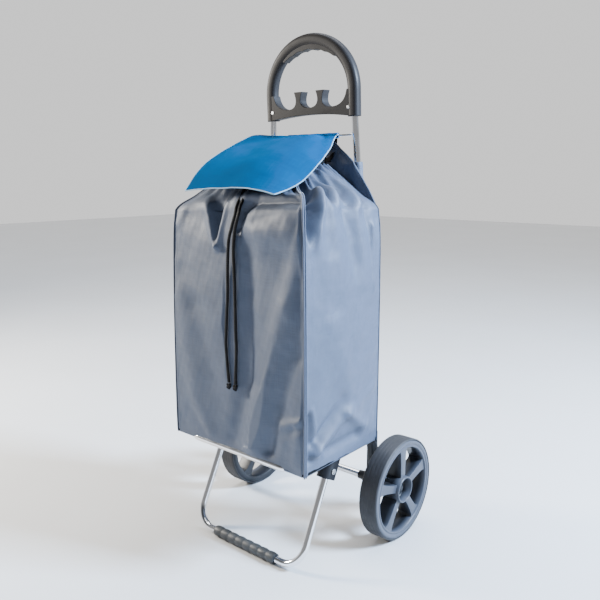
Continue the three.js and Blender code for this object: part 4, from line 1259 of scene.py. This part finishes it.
# ---------------------------------------------------------------- drawcord
ROUTES = {
    "left": [(-2, -181.5, 753), (1, -196, 743), (6, -228, 712), (12, -258, 681), (15, -267.5, 664),
             (6, -268, 641), (-3, -268, 612), (-7, -268, 560), (-8, -268, 518), (-13, -268, 455),
             (-15, -268, 420), (-12, -268, 380), (-9, -268, 350)],
    "right": [(9, -181.5, 753), (10, -196, 743), (15, -228, 712), (21, -258, 681), (23, -267.5, 663),
              (14, -268, 636), (9, -268, 600), (10, -268, 560), (11, -268, 518), (11, -268, 455),
              (12, -268, 420), (10, -268, 380), (8, -268, 350)],
}


def braided(angle, length):
    return 1 + 0.07 * np.maximum(np.sin(4 * angle + length * 2.2), np.sin(4 * angle - length * 2.2))


for word, route in ROUTES.items():
    line = spline(route, 620)
    cord = tube_piece(f"drawcord_{word}_braid", line, 2.75, 20, form=braided)
    finish_piece(cord, CORD, "frame", "cord", [f"drawcord_{word}"])
    # The knot is a trefoil, flattened towards the bag, with the cord's short tail under it.
    t = np.linspace(0, math.tau, 120)
    middle = np.array(route[-1], float) + [0, -0.8, -6.2]
    trefoil = [
        0.85 * (np.sin(t) + 2 * np.sin(2 * t)), -1.8 * np.sin(3 * t), 1.125 * (np.cos(t) - 2 * np.cos(2 * t)),
    ]
    knot_line = np.stack(trefoil, -1) * 1.15 + middle
    knot = tube_piece(f"drawcord_knot_{word}_tied", knot_line, 2.1, 16, form=braided)
    tail_line = spline([middle + drop for drop in ([0, 0, -3], [0.6, 0.5, -5.4], [1.2, 0.2, -7])], 24)
    tail = tube_piece(f"drawcord_tail_{word}", tail_line, 1.9, 16, form=braided)
    knot = joined(f"drawcord_knot_{word}_tied", [knot, tail])
    finish_piece(knot, CORD, "frame", "cord", [f"drawcord_knot_{word}"])
    crumple(cord)
    crumple(knot)
    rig.cord(
        cord, exit=metres([route[0]])[0], length=round(float(lengths(line)[-1]) / 1000, 3), diameter=0.0056,
        far_end="knot", stiffness="limp", lay="hanging", path=metres(line), with_pieces=[knot],
    )

# ---------------------------------------------------------------- floor and light
floor_mesh = bpy.data.meshes.new("stage_floor")
floor_mesh.from_pydata([(-9, -9, 0), (9, -9, 0), (9, 9, 0), (-9, 9, 0)], [], [(0, 1, 2, 3)])
stage_floor = link("stage_floor", floor_mesh)
paper = Nodes(bpy.data.materials.new("stage_paper"))
tint = paper.ramp(paper.noise(2.0, 3, 0.5), (0.3, (0.5, 0.502, 0.505)), (0.7, (0.52, 0.522, 0.525)))
floor_mesh.materials.append(paper.done(tint, 0.9))
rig.stage(stage_floor)

# The sky is bright towards the ground and the horizon, and dimmer overhead. It is also brightest over
# the far side of the floor and dimmer in front, so that bright metal has something to show.
sky = Nodes(bpy.data.worlds.new("world"), "Background")
level = sky.ramp(sky.part("Generated", "Z"), (0.30, (1.0, 1.0, 1.0)), (0.52, (0.2, 0.21, 0.23)))
far_side = sky.add("ShaderNodeVectorMath", operation="DOT_PRODUCT")
sky.feed(sky.coords.outputs["Generated"], far_side.inputs[0])
far_side.inputs[1].default_value = (-0.64, 0.77, 0.0)
dim = sky.span(far_side.outputs["Value"], -0.3, 0.75, 0.34, 1.0, "SMOOTHSTEP")
sky.feed(sky.times(level, dim), sky.shader.inputs["Color"])
sky.shader.inputs["Strength"].default_value = 1.0
bpy.context.scene.world = sky.owner


def area_light(name, place, target, size, power, colour):
    data = bpy.data.lights.new(name, "AREA")
    data.shape = "RECTANGLE"
    data.size, data.size_y = size
    data.energy = power
    data.color = colour
    light = link(name, data)
    light.location = place
    light.rotation_euler = (Vector(target) - Vector(place)).to_track_quat("-Z", "Y").to_euler()


area_light("light_right", (2.1, 0.85, 1.85), (0, 0, 0.5), (0.6, 0.7), 520, (0.58, 0.75, 1.0))
area_light("light_left", (-2.0, -0.95, 1.3), (0, 0, 0.45), (0.35, 0.5), 135, (1.0, 0.95, 0.86))
noon = bpy.data.lights.new("light_top", "SUN")
noon.energy = 3.9
noon.angle = math.radians(50)
link("light_top", noon).rotation_euler = (math.radians(-12), math.radians(-8), 0)

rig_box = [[float(c) for c in corner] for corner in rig.bounds()]
with open("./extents.json", "w") as out:
    json.dump({"cad": CAD_BOX, "visual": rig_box}, out)
